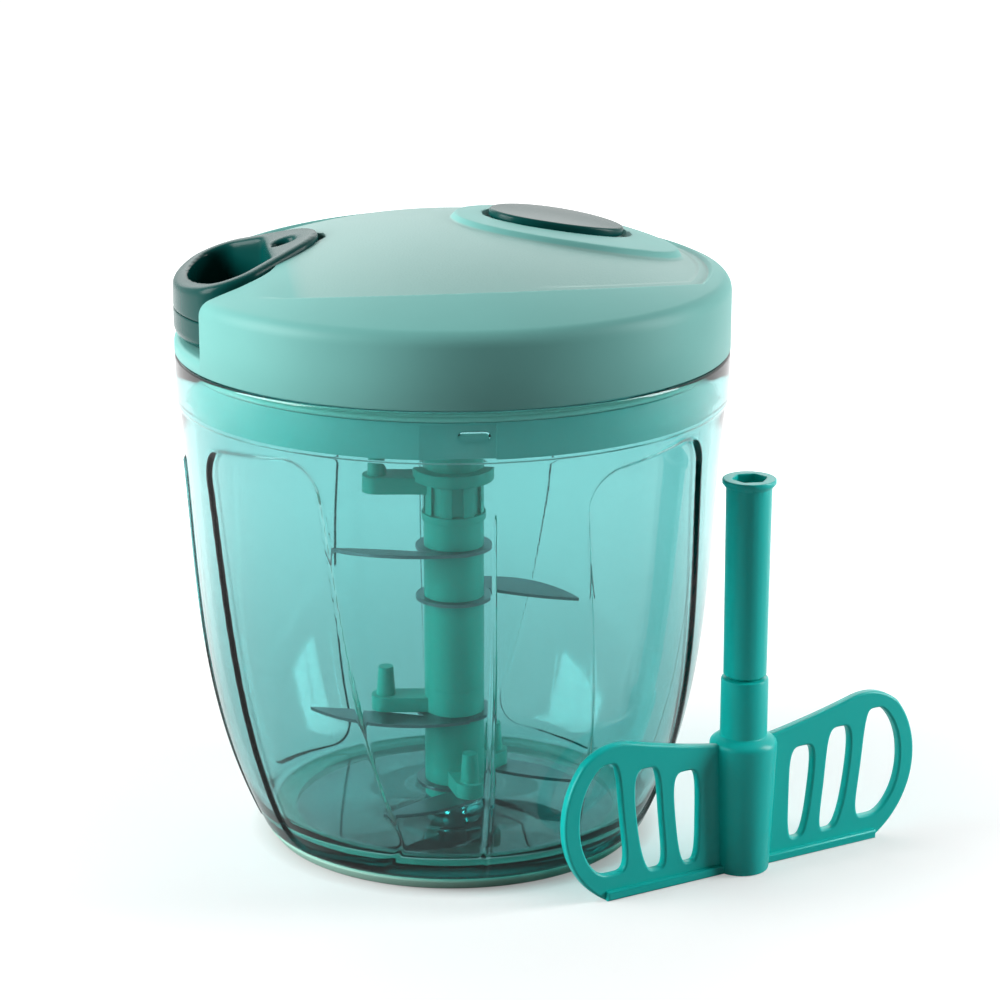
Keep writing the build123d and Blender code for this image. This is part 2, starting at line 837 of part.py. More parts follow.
# Plan of the handle's ring, with the finger hole a ring's width inside its outline
with BuildSketch() as finger_hole:
    add(handle_outline.sketch)
    offset(amount=-handle_ring)
    with Locations((-loop_end, 0)):
        Rectangle(rim_radius, handle_width, align=(Align.MIN, Align.CENTER), mode=Mode.SUBTRACT)
    fillet(finger_hole.vertices().group_by(Axis.X)[-1], loop_corner)
with BuildSketch() as handle_plan:
    add(handle_outline.sketch)
    add(finger_hole.sketch, mode=Mode.SUBTRACT)


def handle_screw_spots():
    """Spots on either side of the knot's pocket."""
    return Locations((-knot_centre, handle_screw_offset), (-knot_centre, -handle_screw_offset))


# Lower half of the handle, with the pocket that holds the cord's knot
with BuildPart() as handle_lower:
    with BuildSketch(Plane.XY.offset(handle_bottom)):
        add(handle_plan.sketch)
    extrude(amount=handle_split - handle_bottom)
    fillet(handle_lower.faces().sort_by(Axis.Z)[0].outer_wire().edges(), handle_under_fillet)
    with BuildSketch(Plane.XY.offset(cord_level - knot_radius - knot_gap)):
        with Locations((-knot_centre, 0)):
            Circle(knot_radius + knot_gap)
    extrude(amount=handle_split, mode=Mode.SUBTRACT)
    with BuildSketch(Plane.YZ.offset(-handle_tip_reach)):
        with Locations((0, cord_level)):
            Circle(cord_radius + cord_hole_gap)
    extrude(amount=-knot_reach, mode=Mode.SUBTRACT)
    with BuildSketch(Plane.XY.offset(handle_bottom)):
        with handle_screw_spots():
            Circle(handle_screw_head_radius + fit_gap)
    extrude(amount=handle_screw_head_height, mode=Mode.SUBTRACT)
    with BuildSketch(Plane.XY.offset(handle_bottom)):
        with handle_screw_spots():
            Circle(handle_screw_radius + fit_gap)
    extrude(amount=handle_split_height, mode=Mode.SUBTRACT)
save(handle_lower.part, "handle_lower")

# Upper half of the handle: flat top that slopes with the dome, and the mouth of the knot's pocket
handle_tip_top = dome_height(handle_tip_reach) + handle_tip_proud
with BuildPart() as handle_upper:
    with BuildSketch(Plane.XY.offset(handle_split)):
        add(handle_plan.sketch)
        with Locations((-knot_centre, 0)):
            Circle(knot_radius + knot_gap, mode=Mode.SUBTRACT)
    extrude(amount=lid_top - handle_split)
    with BuildSketch(Plane.XZ):
        with BuildLine():
            Polyline(
                (-rim_radius, handle_split),
                (-rim_radius, handle_end_top),
                (-handle_tip_reach, handle_tip_top),
                (-handle_tip_reach, handle_split),
                close=True,
            )
        make_face()
    extrude(amount=handle_width, both=True, mode=Mode.INTERSECT)
    slope = handle_upper.faces().filter_by(GeomType.PLANE).sort_by(Axis.Z)[-1]
    fillet(slope.outer_wire().edges(), handle_edge)
    slope = handle_upper.faces().filter_by(GeomType.PLANE).sort_by(Axis.Z)[-1]
    fillet([edge for hole in slope.inner_wires() for edge in hole.edges()], handle_web / 3)
    with BuildSketch(Plane.XY.offset(handle_bottom)):
        with handle_screw_spots():
            Circle(handle_screw_radius + fit_gap)
    extrude(amount=handle_screw_head_height + handle_screw_length + fit_gap, mode=Mode.SUBTRACT)
save(handle_upper.part, "handle_upper")

handle_screws = screws(
    handle_screw_spots,
    handle_bottom + handle_screw_head_height,
    -1,
    handle_screw_radius,
    handle_screw_length,
    handle_screw_head_radius,
    handle_screw_head_height,
)
save(handle_screws, "handle_screws")

# Knot at the end of the cord
with BuildPart() as cord_knot:
    with Locations((-knot_centre, 0, cord_level)):
        Sphere(knot_radius)
save(cord_knot.part, "cord_knot")


def arm(level, angle, reach):
    """Arm of a hub, from the axis outwards, with a tapering peg on its end."""
    with BuildPart() as body:
        with BuildSketch(Plane.XY.offset(level)):
            with PolarLocations(reach / 2, 1, start_angle=angle):
                SlotCenterToCenter(reach, arm_width)
        extrude(amount=arm_height)
        with BuildSketch(Plane.XY.offset(level + arm_height)):
            with PolarLocations(reach, 1, start_angle=angle):
                Circle(peg_radius)
        extrude(amount=peg_height, taper=peg_taper)
    return body.part


def blade(level, length, tip_angles, pitch=0.0):
    """Steel eye clamped in the stack, with a sickle-shaped wing towards each tip angle."""
    with BuildPart() as plate:
        add(ring(level, blade_thickness, hub_radius + eye_margin, core_radius + fit_gap))
        for angle in tip_angles:
            along = Vector(1, 0, 0).rotate(Axis.Z, angle)
            root = along.rotate(Axis.Z, 90) * blade_offset + Vector(0, 0, level)
            facing = Vector(0, 0, 1).rotate(Axis((0, 0, 0), along), pitch)
            with BuildSketch(Plane(origin=root, x_dir=along, z_dir=facing)):
                with BuildLine():
                    edge = ThreePointArc(
                        (-0.4 * blade_root, 0.15 * blade_root),
                        (0.45 * length, 0.4 * blade_width),
                        (length, -blade_offset),
                    )
                    back = ThreePointArc(
                        edge @ 1,
                        (0.55 * length, -0.6 * blade_width),
                        (0.6 * blade_root, -0.15 * blade_root),
                    )
                    Line(back @ 1, edge @ 0)
                make_face()
            extrude(amount=blade_thickness)
    return plate.part


lower_tips = [angle - blade_sweep for angle in lower_arm_angles]
save(blade(lower_blade_level, blade_length, lower_tips), "lower_blade")
save(blade(middle_blade_level, middle_blade_length, [blade_set_angle]), "middle_blade")
save(blade(right_blade_level, blade_length, [blade_set_angle + 180], blade_pitch), "right_blade")
save(blade(left_blade_level, blade_length, [blade_set_angle], blade_pitch), "left_blade")

# Core that carries the stack and turns on the pin
with BuildPart() as blade_core:
    add(ring(core_bottom, core_top - core_bottom, core_radius))
    add(ring(core_bottom, pin_top + pin_clear - core_bottom, pin_radius + running_gap), mode=Mode.SUBTRACT)
save(blade_core.part, "blade_core")

# End cap under the lowest blade
with BuildPart() as blade_foot:
    add(ring(blade_bottom, foot_cap_height, hub_radius, pin_radius + running_gap))
    add(ring(core_bottom - fit_gap, foot_cap_height, core_radius + fit_gap), mode=Mode.SUBTRACT)
save(blade_foot.part, "blade_foot")

# Hubs and spacer between the blades
with BuildPart() as lower_hub:
    add(ring(lower_hub_level, lower_hub_height, hub_radius))
    for angle in lower_arm_angles:
        add(arm(lower_hub_level, angle, lower_arm_reach))
    add(ring(lower_hub_level, lower_hub_height, core_radius + fit_gap), mode=Mode.SUBTRACT)
save(lower_hub.part, "lower_hub")

with BuildPart() as middle_hub:
    add(ring(middle_hub_level, middle_hub_height, hub_radius))
    add(arm(middle_hub_level, blade_set_angle, middle_arm_reach))
    add(ring(middle_hub_level, middle_hub_height, core_radius + fit_gap), mode=Mode.SUBTRACT)
save(middle_hub.part, "middle_hub")

with BuildPart() as blade_spacer:
    add(ring(spacer_level, spacer_height, hub_radius, core_radius + fit_gap))
save(blade_spacer.part, "blade_spacer")

with BuildPart() as upper_hub:
    add(ring(upper_hub_level, upper_hub_height, hub_radius, core_radius + fit_gap))
save(upper_hub.part, "upper_hub")

# Drive hub: socket for the spindle, collar, ring, flutes and a small arm
with BuildPart() as drive_hub:
    add(ring(drive_hub_level, drive_hub_height, hub_radius))
    with BuildSketch(Plane.XY.offset(ring_top)):
        with PolarLocations(hub_radius, flute_count):
            Rectangle(2 * flute_depth, flute_width)
    extrude(amount=collar_bottom - ring_top, mode=Mode.SUBTRACT)
    add(ring(ring_top - ring_height, ring_height, ring_radius))
    add(ring(collar_bottom, collar_height, collar_radius))
    add(arm(drive_top - drive_arm_drop, blade_set_angle, drive_arm_reach))
    core_seat = ring(drive_hub_level, core_top - drive_hub_level + fit_gap, core_radius + fit_gap)
    add(core_seat, mode=Mode.SUBTRACT)
    add(hexagon(socket_bottom, spindle_engagement + spindle_end_gap, socket_flats), mode=Mode.SUBTRACT)
save(drive_hub.part, "drive_hub")

# Whisk, which stands beside the bowl
whisk_spot = Vector(whisk_distance, 0, 0).rotate(Axis.Z, whisk_bearing)
wing_direction = Vector(1, 0, 0).rotate(Axis.Z, whisk_angle)
whisk_plane = Plane(
    origin=whisk_spot,
    x_dir=wing_direction,
    z_dir=wing_direction.rotate(Axis.Z, -90),
)
whisk_axis = Axis(whisk_spot, (0, 0, 1))


def whisk_wing():
    """Outline of one wing from the whisk's axis outwards, with its corners still sharp."""
    with BuildSketch() as outline:
        with BuildLine():
            side = ThreePointArc(
                (wing_foot_reach, 0),
                (wing_reach, wing_reach_height),
                (wing_top_reach, wing_top_height),
            )
            top = ThreePointArc(
                side @ 1,
                (wing_top_reach / 2, wing_dip_height),
                (0, wing_root_height),
            )
            Polyline(top @ 1, (0, 0), side @ 0)
        make_face()
    return outline.sketch


# Slots in one wing: what is left inside its border, between the bars
with BuildSketch() as wing_openings:
    add(whisk_wing())
    offset(amount=-wing_border, kind=Kind.INTERSECTION)
    with Locations((wing_slot_start / 2, wing_top_height / 2)):
        Rectangle(wing_slot_start, 2 * wing_top_height, mode=Mode.SUBTRACT)
    for index in range(1, wing_slots):
        bar_end = wing_slot_start + index * (wing_slot_width + wing_bar)
        with Locations((bar_end - wing_bar / 2, wing_top_height / 2)):
            Rectangle(wing_bar, 2 * wing_top_height, mode=Mode.SUBTRACT)
    fillet(wing_openings.vertices(), wing_slot_corner)

# Paddle: two slotted wings on a hollow body
with BuildPart() as whisk_paddle:
    with BuildSketch(whisk_plane) as wings:
        add(whisk_wing())
        fillet(wings.vertices().group_by(Axis.Y)[-1], wing_corner)
        add(wing_openings.sketch, mode=Mode.SUBTRACT)
        mirror(about=Plane.YZ)
    extrude(amount=wing_thickness / 2, both=True)
    with BuildSketch(whisk_plane):
        with Locations((0, wing_foot_height / 2)):
            Rectangle(2 * wing_foot_reach, wing_foot_height)
    extrude(amount=wing_foot_width / 2, both=True)
    with BuildSketch(whisk_plane):
        with BuildLine():
            Polyline(
                (0, 0),
                (whisk_body_bottom_radius, 0),
                (whisk_body_top_radius, whisk_body_height - whisk_shoulder),
                (whisk_body_top_radius - whisk_shoulder, whisk_body_height),
                (whisk_collar_radius, whisk_body_height),
                (whisk_collar_radius, paddle_top),
                (0, paddle_top),
                close=True,
            )
        make_face()
    revolve(axis=whisk_axis)
    pin_hole = ring(0, whisk_bore_depth, pin_radius + whisk_bore_gap, centre=whisk_spot)
    add(pin_hole, mode=Mode.SUBTRACT)
    spigot_bore = whisk_spigot_radius + fit_gap
    spigot_hole = ring(spigot_bottom - fit_gap, whisk_spigot_depth, spigot_bore, centre=whisk_spot)
    add(spigot_hole, mode=Mode.SUBTRACT)
save(whisk_paddle.part, "whisk_paddle")

# Stem that fits the spindle in place of the blade stack
with BuildPart() as whisk_stem:
    with BuildSketch(whisk_plane):
        with BuildLine():
            Polyline(
                (0, spigot_bottom),
                (whisk_spigot_radius, spigot_bottom),
                (whisk_spigot_radius, stem_bottom),
                (whisk_stem_radius, stem_bottom),
                (whisk_stem_top_radius, whisk_height - whisk_rim_height),
                (whisk_rim_radius, whisk_height - whisk_rim_height / 2),
                (whisk_rim_radius, whisk_height),
                (0, whisk_height),
                close=True,
            )
        make_face()
    revolve(axis=whisk_axis)
    socket = hexagon(whisk_height - whisk_socket_depth, whisk_socket_depth, socket_flats, centre=whisk_spot)
    add(socket, mode=Mode.SUBTRACT)
save(whisk_stem.part, "whisk_stem")
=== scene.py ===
"""Pull-cord food chopper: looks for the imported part. Metres, in the part's own frame."""

import json
import math

import bmesh
import bpy
import numpy as np
from mathutils import Euler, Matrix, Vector


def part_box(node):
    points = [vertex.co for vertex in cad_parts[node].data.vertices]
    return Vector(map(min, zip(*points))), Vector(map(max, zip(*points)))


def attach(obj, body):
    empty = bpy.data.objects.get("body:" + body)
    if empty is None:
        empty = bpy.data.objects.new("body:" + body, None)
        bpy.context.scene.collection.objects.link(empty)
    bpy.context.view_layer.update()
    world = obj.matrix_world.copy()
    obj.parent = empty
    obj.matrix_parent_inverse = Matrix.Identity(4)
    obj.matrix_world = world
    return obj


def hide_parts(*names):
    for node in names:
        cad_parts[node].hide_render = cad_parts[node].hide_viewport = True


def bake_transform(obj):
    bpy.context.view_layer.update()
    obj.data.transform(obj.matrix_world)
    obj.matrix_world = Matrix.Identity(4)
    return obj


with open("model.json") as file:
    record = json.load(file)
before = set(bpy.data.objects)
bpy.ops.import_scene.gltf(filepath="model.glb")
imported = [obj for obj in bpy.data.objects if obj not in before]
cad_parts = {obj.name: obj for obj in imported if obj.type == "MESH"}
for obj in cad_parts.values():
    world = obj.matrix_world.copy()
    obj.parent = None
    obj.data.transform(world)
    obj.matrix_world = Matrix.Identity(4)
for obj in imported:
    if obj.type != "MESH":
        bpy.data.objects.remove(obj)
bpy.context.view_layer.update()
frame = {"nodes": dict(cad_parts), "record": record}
nodes = frame["nodes"]
scene = bpy.context.scene
MM = 0.001

# Bowl, in millimetres, with profile points as (radius, height)
AXIS_GAP = 0.5
RIM_RADIUS = 65.0
RIM_HEIGHT = 119.0
RIM_ROUND = 0.7
BAND_BOTTOM = 107.6
BAND_EDGE = ((64.55, 107.5), (64.9, 107.75), (65.0, 108.1), (65.0, 113.0))
BOWL_WALL = 2.6
BOWL_BOTTOM = 3.0
INNER_RADIUS = RIM_RADIUS - BOWL_WALL
UNDERSIDE = ((AXIS_GAP, 3.0), (45.6, 3.0), (46.29774, 3.25))
WALL_HEIGHTS = (3.0, 22.0, 60.0, 107.6)
WALL_RADII = (46.6, 53.9, 60.7, 64.5)
FLOOR_TOP = 5.6
FLOOR_FILLET = 7.0
FLOOR_MIDDLE = 24.0
LINING_TOP = 100.0
BOSS_RADIUS = 7.0
BOSS_TOP = 7.0
BOSS_BEVEL = 0.4
PIN_HOLE = 2.55
PIN_BOTTOM = 3.87
QUARTERS = [index * math.pi / 2 for index in range(4)]
PANEL_WIDTH = 38.0
PANEL_RANGE = (5.0, 105.0)
PANEL_CORNER = 9.0
PANEL_DEPTH = 0.8
PANEL_BEVEL = 1.0
PANEL_LEAN = math.radians(6.4)
PANEL_ANGLE = math.radians(-48.5)
RIDGE_ANGLE = math.radians(-90.0)
RIDGE_WIDTH = 2.4
RIDGE_POINT = 0.25
RIDGE_HEIGHT = 0.6
RIDGE_TOP = 95.0
LUG_ANGLE = math.radians(-94.0)
LUG_LEVEL = 113.0
LUG_SIZE = (7.6, 3.0)
LUG_DEPTH = 0.9
LUG_BEVEL = 0.8

# Foot ring and lid seal
FOOT_RADIUS = 46.1
FOOT_WIDTH = 7.0
FOOT_TOP = 2.95
FOOT_BEVEL = 0.5
FOOT_FLAT = 2.6
FOOT_CURVE_INSET = 2.4
FOOT_CURVE = 1.2
FOOT_LIP = 0.5
SEAL_WIDTH = 2.0
SEAL_ROUND = 0.6
SEAL_GAP = 0.1

# Lid shell; an oval is its centre along X, half length and half width
LID_BOTTOM = 119.2
LID_WALL_TOP = 135.5
LID_TOP = 150.0
LID_SHELL = 2.6
LID_EDGE = 4.0
LID_EDGE_RADII = (63.0, 63.5, 64.0, 64.4, 64.7, 64.9, 65.0)
LID_INSIDE_RADII = (60.0, 52.0, 40.0, 20.0, 0.4)
LID_OUTER_WALL = ((65.0, 127.0), (65.0, 119.6), (64.85, 119.32), (64.6, LID_BOTTOM))
LID_INNER_WALL = ((62.4, LID_BOTTOM), (62.4, 130.0), (61.6, 131.9))
DOME_RISE = LID_TOP - LID_WALL_TOP
DOME_RADIUS = (RIM_RADIUS**2 + DOME_RISE**2) / (2 * DOME_RISE)
DOME_CENTRE = LID_TOP - DOME_RADIUS
EDGE_START = (RIM_RADIUS - LID_EDGE) * DOME_RADIUS / (DOME_RADIUS - LID_EDGE)
EDGE_CENTRE = DOME_CENTRE + math.sqrt((DOME_RADIUS - LID_EDGE) ** 2 - (RIM_RADIUS - LID_EDGE) ** 2)
LEAF_RADIUS = 78.0
LEAF_OFFSET = 28.5
LEAF_REACH = 60.5
LEAF_DEPTH = 1.2
LEAF_BEVEL = 1.3
LEAF_FADE = (-50.0, -36.0)
LIP_INSET = 3.2
LIP_DEPTH = 0.35
LIP_BEVEL = 0.9
LIP_FADE = (8.0, 30.0)
BEZEL = (27.0, 26.0, 20.0)
BEZEL_BEVEL = 1.6
CAP = (24.5, 16.0, 11.7)
CAP_SEAT = 1.8
SEAT_EDGE = (-1.5, -0.8)

# Well for the handle
WELL_GAP = 1.6
WELL_WALL = 1.8
WELL_FLOOR = 1.9
WELL_RIM = 64.4
WELL_CUT_REACH = 80.0
WELL_CUT_TOP = 165.0
LINER_GAP = 0.03
LINER_REACH = 64.6
LINER_DROP = 1.8
LEDGE_TOP = 122.8
LEDGE_EDGE = 64.9
LEDGE_BEVEL = 1.3
SLAB_GAP = 0.2
SLAB_DROP = 0.01
SLAB_REACH = 63.2
TIP_CENTRE = -45.2
TIP_RADIUS = 14.0
SHOULDER = (-52.565, 13.064)
SHOULDER_RADIUS = 9.0
SHOULDER_STEP = 0.6

# Cord
CORD_RADIUS = 1.0
CORD_TRIM = 0.98
CORD_PITCH = 2.5
CORD_TURNS = 5
CORD_BEND = 2.0
CORD_CORNER = 24.8
CORD_RUN_GAP = 0.3

# Whisk paddle; a slot edge is its place at mid height, its lean and its bow, and None follows the wing
WHISK_SPOT = (62.0, -41.005)
WING_ANGLE = math.radians(21.0)
WING_THICKNESS = 2.4
WING_EDGE = 0.55
WING_START = 8.0
WING_FOOT = 38.0
WING_SIDE = (48.5, 25.0)
WING_TIP = (38.0, 39.0)
WING_DIP = 34.2
WING_ROOT = 31.0
WING_ROUND = 7.5
WING_BORDER = 4.2
WING_SLOTS = (
    ((4.6, 27.4), (12.8, 0.1, 0.0), (18.6, 1.3, 0.5)),
    ((4.8, 30.2), (22.4, 1.2, 0.5), (28.6, 1.7, 0.9)),
    ((6.0, 33.0), (32.6, 1.6, 0.7), None),
)
SLOT_MIDDLE = 17.0
SLOT_LEAN_SPAN = 12.0
SLOT_BOW_SPAN = 14.0
SLOT_SQUARENESS = 4
FOOT_BAR_WIDTH = 4.6
FOOT_BAR_HEIGHT = 2.2
FOOT_BAR_EDGE = 0.5
PADDLE_BODY = (
    (AXIS_GAP, 26.0), (2.8, 26.0), (2.8, 0.3), (3.1, 0.0), (6.1, 0.0), (6.45, 0.15), (6.6, 0.5),
    (7.88, 30.6), (7.86, 31.2), (7.7, 31.75), (7.3, 32.2), (6.5, 32.8), (6.1, 33.0), (5.75, 33.1),
    (5.5, 33.4), (5.5, 46.8), (5.38, 47.15), (5.1, 47.3), (3.7, 47.3), (3.6, 47.1), (3.6, 39.2),
    (AXIS_GAP, 39.2),
)

# Fineness of the meshes; rows are (from, to, number), and ridge columns are degrees off a ridge
BOWL_COLUMNS = 720
RIDGE_COLUMNS = (-1.1, -0.7, -0.35, -0.12, 0.12, 0.35, 0.7, 1.1)
BOWL_ROWS = ((3.9, 14.0, 16), (15.2, 95.0, 66), (95.7, 107.2, 18))
LUG_ROWS = (115.2, 110.7, 12)
LINING_ROWS = 16
FILLET_SHARES = np.linspace(0.1, 1.0, 10)
RIM_POINTS = 5
FOOT_POINTS = 6
SEAL_POINTS = 7
LATHE_COLUMNS = 180
LID_COLUMNS = 720
LID_ROWS = ((0.4, 46.4, 78), (46.9, 62.6, 52))
WELL_RIM_POINTS = 8
SHOULDER_POINTS = 14
TIP_POINTS = 26
SLAB_POINTS = 30
BEVEL_STEPS = 4
CORD_SIDES = 12
CORD_STEPS = 600
CORD_RUN_STEPS = 60
WING_POINTS = 60
TIP_SHARES = np.linspace(0.05, 0.95, 16)
SLOT_POINTS = 40
PADDLE_COLUMNS = 96
SHARP_ANGLE = 40.0
MERGE_ANGLE = 1.0
FLAT_ANGLE = 0.01
JOIN_DISTANCE = 0.001
TOUCH = 0.01
TINY = 1e-6

# Melted rim of the handle: its least share at the bottom, and where the full share is reached
MELT_LEAST = 0.15
MELT_RISE = 0.4

# Finishes; depths in millimetres
CLOUD_SCALE = 30.0
CLOUD_DETAIL = 5.0
CLOUD_SPAN = (0.3, 0.7)
CLOUD_TONES = (0.95, 1.04)
GLOSS_SPREAD = 0.15
GRAIN_SCALE = 1800.0
GRAIN_DEPTH = 0.15
LID_ROUGHNESS = 0.42
LID_SHINE = 0.16
LID_GRAIN = (0.05, 0.5)
# The leaf mask carries the leaf's painted sheen colour and its stronger grain
LEAF_MASK = (0.7, 0.97)
LEAF_MASK_EDGE = 0.6
BOWL_TINT = (0.445, 0.68, 0.68, 1.0)
BOWL_ROUGHNESS = 0.02
BOWL_IOR = 1.45
BOWL_ABSORPTION = (0.05, 0.68, 0.67, 1.0)
BOWL_DENSITY = 95.0
BOWL_SHADOW = (0.64, 0.76, 0.76, 1.0)
RIPPLE_SCALE = 40.0
RIPPLE_STRENGTH = 0.04
RIPPLE_DEPTH = 1.0
STREAK_STRETCH = (300.0, 4000.0, 1500.0)
STREAK_SPREAD = 0.3
BRAID_ROUGHNESS = 0.85
BRAID_SCALE = 1.2
BRAID_SHADE = 0.6
BRAID_DEPTH = 0.2

# Studio, in metres: tones are for light and for what is seen, sides the dim and the white end along Y,
# and the floor's painted glow and its painted shadow under the bowl go from the first to the second distance
# from the axis
WHITE = (1.0, 1.0, 1.0, 1.0)
GLOSS_FRONT = 0.25
FLOOR_HALF = 4.0
FLOOR_ROUGHNESS = 0.9
FLOOR_SIDES = (-0.1, 0.15)
FLOOR_TONES = (0.28, 0.62)
GLOW_REACH = (0.06, 0.32)
GLOW_STRENGTH = (0.38, 1.0)
# Painted shadow under the bowl
UNDER_BOWL_SHADOW_REACH = (0.038, 0.05)
UNDER_BOWL_SHADOW_SHARE = (0.4, 1.0)
WORLD_SIDES = (-0.3, 0.3)
WORLD_TONES = (0.04, 1.0)
CAMERA_PLACE = (-0.0964, -0.6792, 0.2795)
CAMERA_DOWN = 16.15
CAMERA_TURN = -9.0
CAMERA_LENS = 108.0
CAMERA_SENSOR = 36.0


def smooth(value, start, end):
    """Smooth step of a value from 0 at start to 1 at end."""
    share = np.clip((value - start) / (end - start), 0.0, 1.0)
    return share * share * (3 - 2 * share)


# Shader nodes


def new_material(name):
    """Material with its Principled shader and its node tree."""
    material = bpy.data.materials.new(name)
    material.use_nodes = True
    tree = material.node_tree
    return material, tree.nodes["Principled BSDF"], tree


def add_node(tree, kind, values=None):
    """New node with values on its sockets."""
    node = tree.nodes.new(kind)
    for socket, value in (values or {}).items():
        node.inputs[socket].default_value = value
    return node


def noise(tree, vector, scale, detail=2.0):
    """Noise over a vector."""
    node = add_node(tree, "ShaderNodeTexNoise", {"Scale": scale, "Detail": detail})
    tree.links.new(vector, node.inputs["Vector"])
    return node.outputs["Fac"]


def map_range(tree, source, low, high, start=0.0, end=1.0, kind="LINEAR"):
    """Source carried over from start and end to low and high."""
    values = {"From Min": start, "From Max": end, "To Min": low, "To Max": high}
    node = add_node(tree, "ShaderNodeMapRange", values)
    node.interpolation_type = kind
    tree.links.new(source, node.inputs["Value"])
    return node.outputs["Result"]


def math_of(tree, operation, first, second):
    """Two sources put together by an operation."""
    node = tree.nodes.new("ShaderNodeMath")
    node.operation = operation
    tree.links.new(first, node.inputs[0])
    tree.links.new(second, node.inputs[1])
    return node.outputs["Value"]


def vector_math(tree, operation, vector, second=(0.0, 0.0, 0.0)):
    """Vector node that works on a vector and a fixed second one."""
    node = tree.nodes.new("ShaderNodeVectorMath")
    node.operation = operation
    node.inputs[1].default_value = second
    tree.links.new(vector, node.inputs[0])
    return node


def bump(tree, shader, height, strength, depth):
    """Bump on a shader, with its depth in millimetres."""
    node = add_node(tree, "ShaderNodeBump", {"Strength": strength, "Distance": depth * MM})
    tree.links.new(height, node.inputs["Height"])
    tree.links.new(node.outputs["Normal"], shader.inputs["Normal"])
    return node


def toned(colour, tone):
    """Colour made darker or lighter, with its alpha."""
    return (*[min(1.0, channel * tone) for channel in colour], 1.0)


# Finishes


def plastic(name, colour, roughness, shine=0.5, grain=0.1, edge=0.0):
    """Moulded plastic: faint clouds in its colour, uneven gloss, fine grain and softened edges."""
    material, shader, tree = new_material(name)
    link = tree.links.new
    coords = add_node(tree, "ShaderNodeTexCoord").outputs["Object"]
    cloud = noise(tree, coords, CLOUD_SCALE, CLOUD_DETAIL)
    tint = add_node(tree, "ShaderNodeValToRGB")
    for element, place, tone in zip(tint.color_ramp.elements, CLOUD_SPAN, CLOUD_TONES):
        element.position = place
        element.color = toned(colour, tone)
    link(cloud, tint.inputs["Fac"])
    link(tint.outputs["Color"], shader.inputs["Base Color"])
    gloss = map_range(tree, cloud, roughness * (1 - GLOSS_SPREAD), roughness * (1 + GLOSS_SPREAD))
    link(gloss, shader.inputs["Roughness"])
    shader.inputs["Specular IOR Level"].default_value = shine
    surface = bump(tree, shader, noise(tree, coords, GRAIN_SCALE), grain, GRAIN_DEPTH)
    if edge:
        round_edge = add_node(tree, "ShaderNodeBevel", {"Radius": edge * MM})
        round_edge.samples = 4
        link(round_edge.outputs["Normal"], surface.inputs["Normal"])
    return material


def lid_plastic(name, colour, sheen_leaf_colour):
    """Satin lid plastic, grainier in the sunken leaf than on the smooth rest, and paler there with painted
    sheen.
    """
    material = plastic(name, colour, LID_ROUGHNESS, shine=LID_SHINE)
    tree = material.node_tree
    link = tree.links.new
    coords = tree.nodes["Texture Coordinate"].outputs["Object"]
    height = vector_math(tree, "DISTANCE", coords, (0.0, 0.0, DOME_CENTRE * MM)).outputs["Value"]
    start, end = ((DOME_RADIUS - share * LEAF_DEPTH) * MM for share in LEAF_MASK)
    sunk = map_range(tree, height, 0.0, 1.0, start, end)
    flat = vector_math(tree, "MULTIPLY", coords, (1.0, 1.0, 0.0)).outputs["Vector"]
    reach = vector_math(tree, "LENGTH", flat).outputs["Value"]
    inside = map_range(tree, reach, 0.0, 1.0, (LEAF_REACH + LEAF_MASK_EDGE) * MM, LEAF_REACH * MM)
    leaf = math_of(tree, "MULTIPLY", sunk, inside)
    # Painted sheen: the leaf gets a paler colour
    paint = tree.nodes.new("ShaderNodeMix")
    paint.data_type = "RGBA"
    paint.inputs["B"].default_value = (*sheen_leaf_colour, 1.0)
    link(leaf, paint.inputs["Factor"])
    link(tree.nodes["Color Ramp"].outputs["Color"], paint.inputs["A"])
    link(paint.outputs["Result"], tree.nodes["Principled BSDF"].inputs["Base Color"])
    link(map_range(tree, leaf, *LID_GRAIN), tree.nodes["Bump"].inputs["Strength"])
    return material


def clear_plastic(name):
    """Clear teal plastic: tinted through its thickness, and it lets lamp light in."""
    material, shader, tree = new_material(name)
    link = tree.links.new
    shader.inputs["Base Color"].default_value = BOWL_TINT
    shader.inputs["Roughness"].default_value = BOWL_ROUGHNESS
    shader.inputs["IOR"].default_value = BOWL_IOR
    shader.inputs["Transmission Weight"].default_value = 1.0
    output = tree.nodes["Material Output"]
    values = {"Color": BOWL_ABSORPTION, "Density": BOWL_DENSITY}
    depth_tint = add_node(tree, "ShaderNodeVolumeAbsorption", values)
    link(depth_tint.outputs["Volume"], output.inputs["Volume"])
    path = add_node(tree, "ShaderNodeLightPath")
    open_path = add_node(tree, "ShaderNodeBsdfTransparent", {"Color": BOWL_SHADOW})
    choose = add_node(tree, "ShaderNodeMixShader")
    link(path.outputs["Is Shadow Ray"], choose.inputs["Fac"])
    link(shader.outputs["BSDF"], choose.inputs[1])
    link(open_path.outputs["BSDF"], choose.inputs[2])
    link(choose.outputs["Shader"], output.inputs["Surface"])
    coords = add_node(tree, "ShaderNodeTexCoord").outputs["Object"]
    bump(tree, shader, noise(tree, coords, RIPPLE_SCALE), RIPPLE_STRENGTH, RIPPLE_DEPTH)
    return material


def steel(name, colour, roughness):
    """Brushed steel: fine streaks that break up its gloss."""
    material, shader, tree = new_material(name)
    link = tree.links.new
    shader.inputs["Base Color"].default_value = (*colour, 1.0)
    shader.inputs["Metallic"].default_value = 1.0
    coords = add_node(tree, "ShaderNodeTexCoord")
    stretch = add_node(tree, "ShaderNodeMapping", {"Scale": STREAK_STRETCH})
    link(coords.outputs["Object"], stretch.inputs["Vector"])
    streak = noise(tree, stretch.outputs["Vector"], 1.0)
    gloss = map_range(tree, streak, roughness * (1 - STREAK_SPREAD), roughness * (1 + STREAK_SPREAD))
    link(gloss, shader.inputs["Roughness"])
    return material


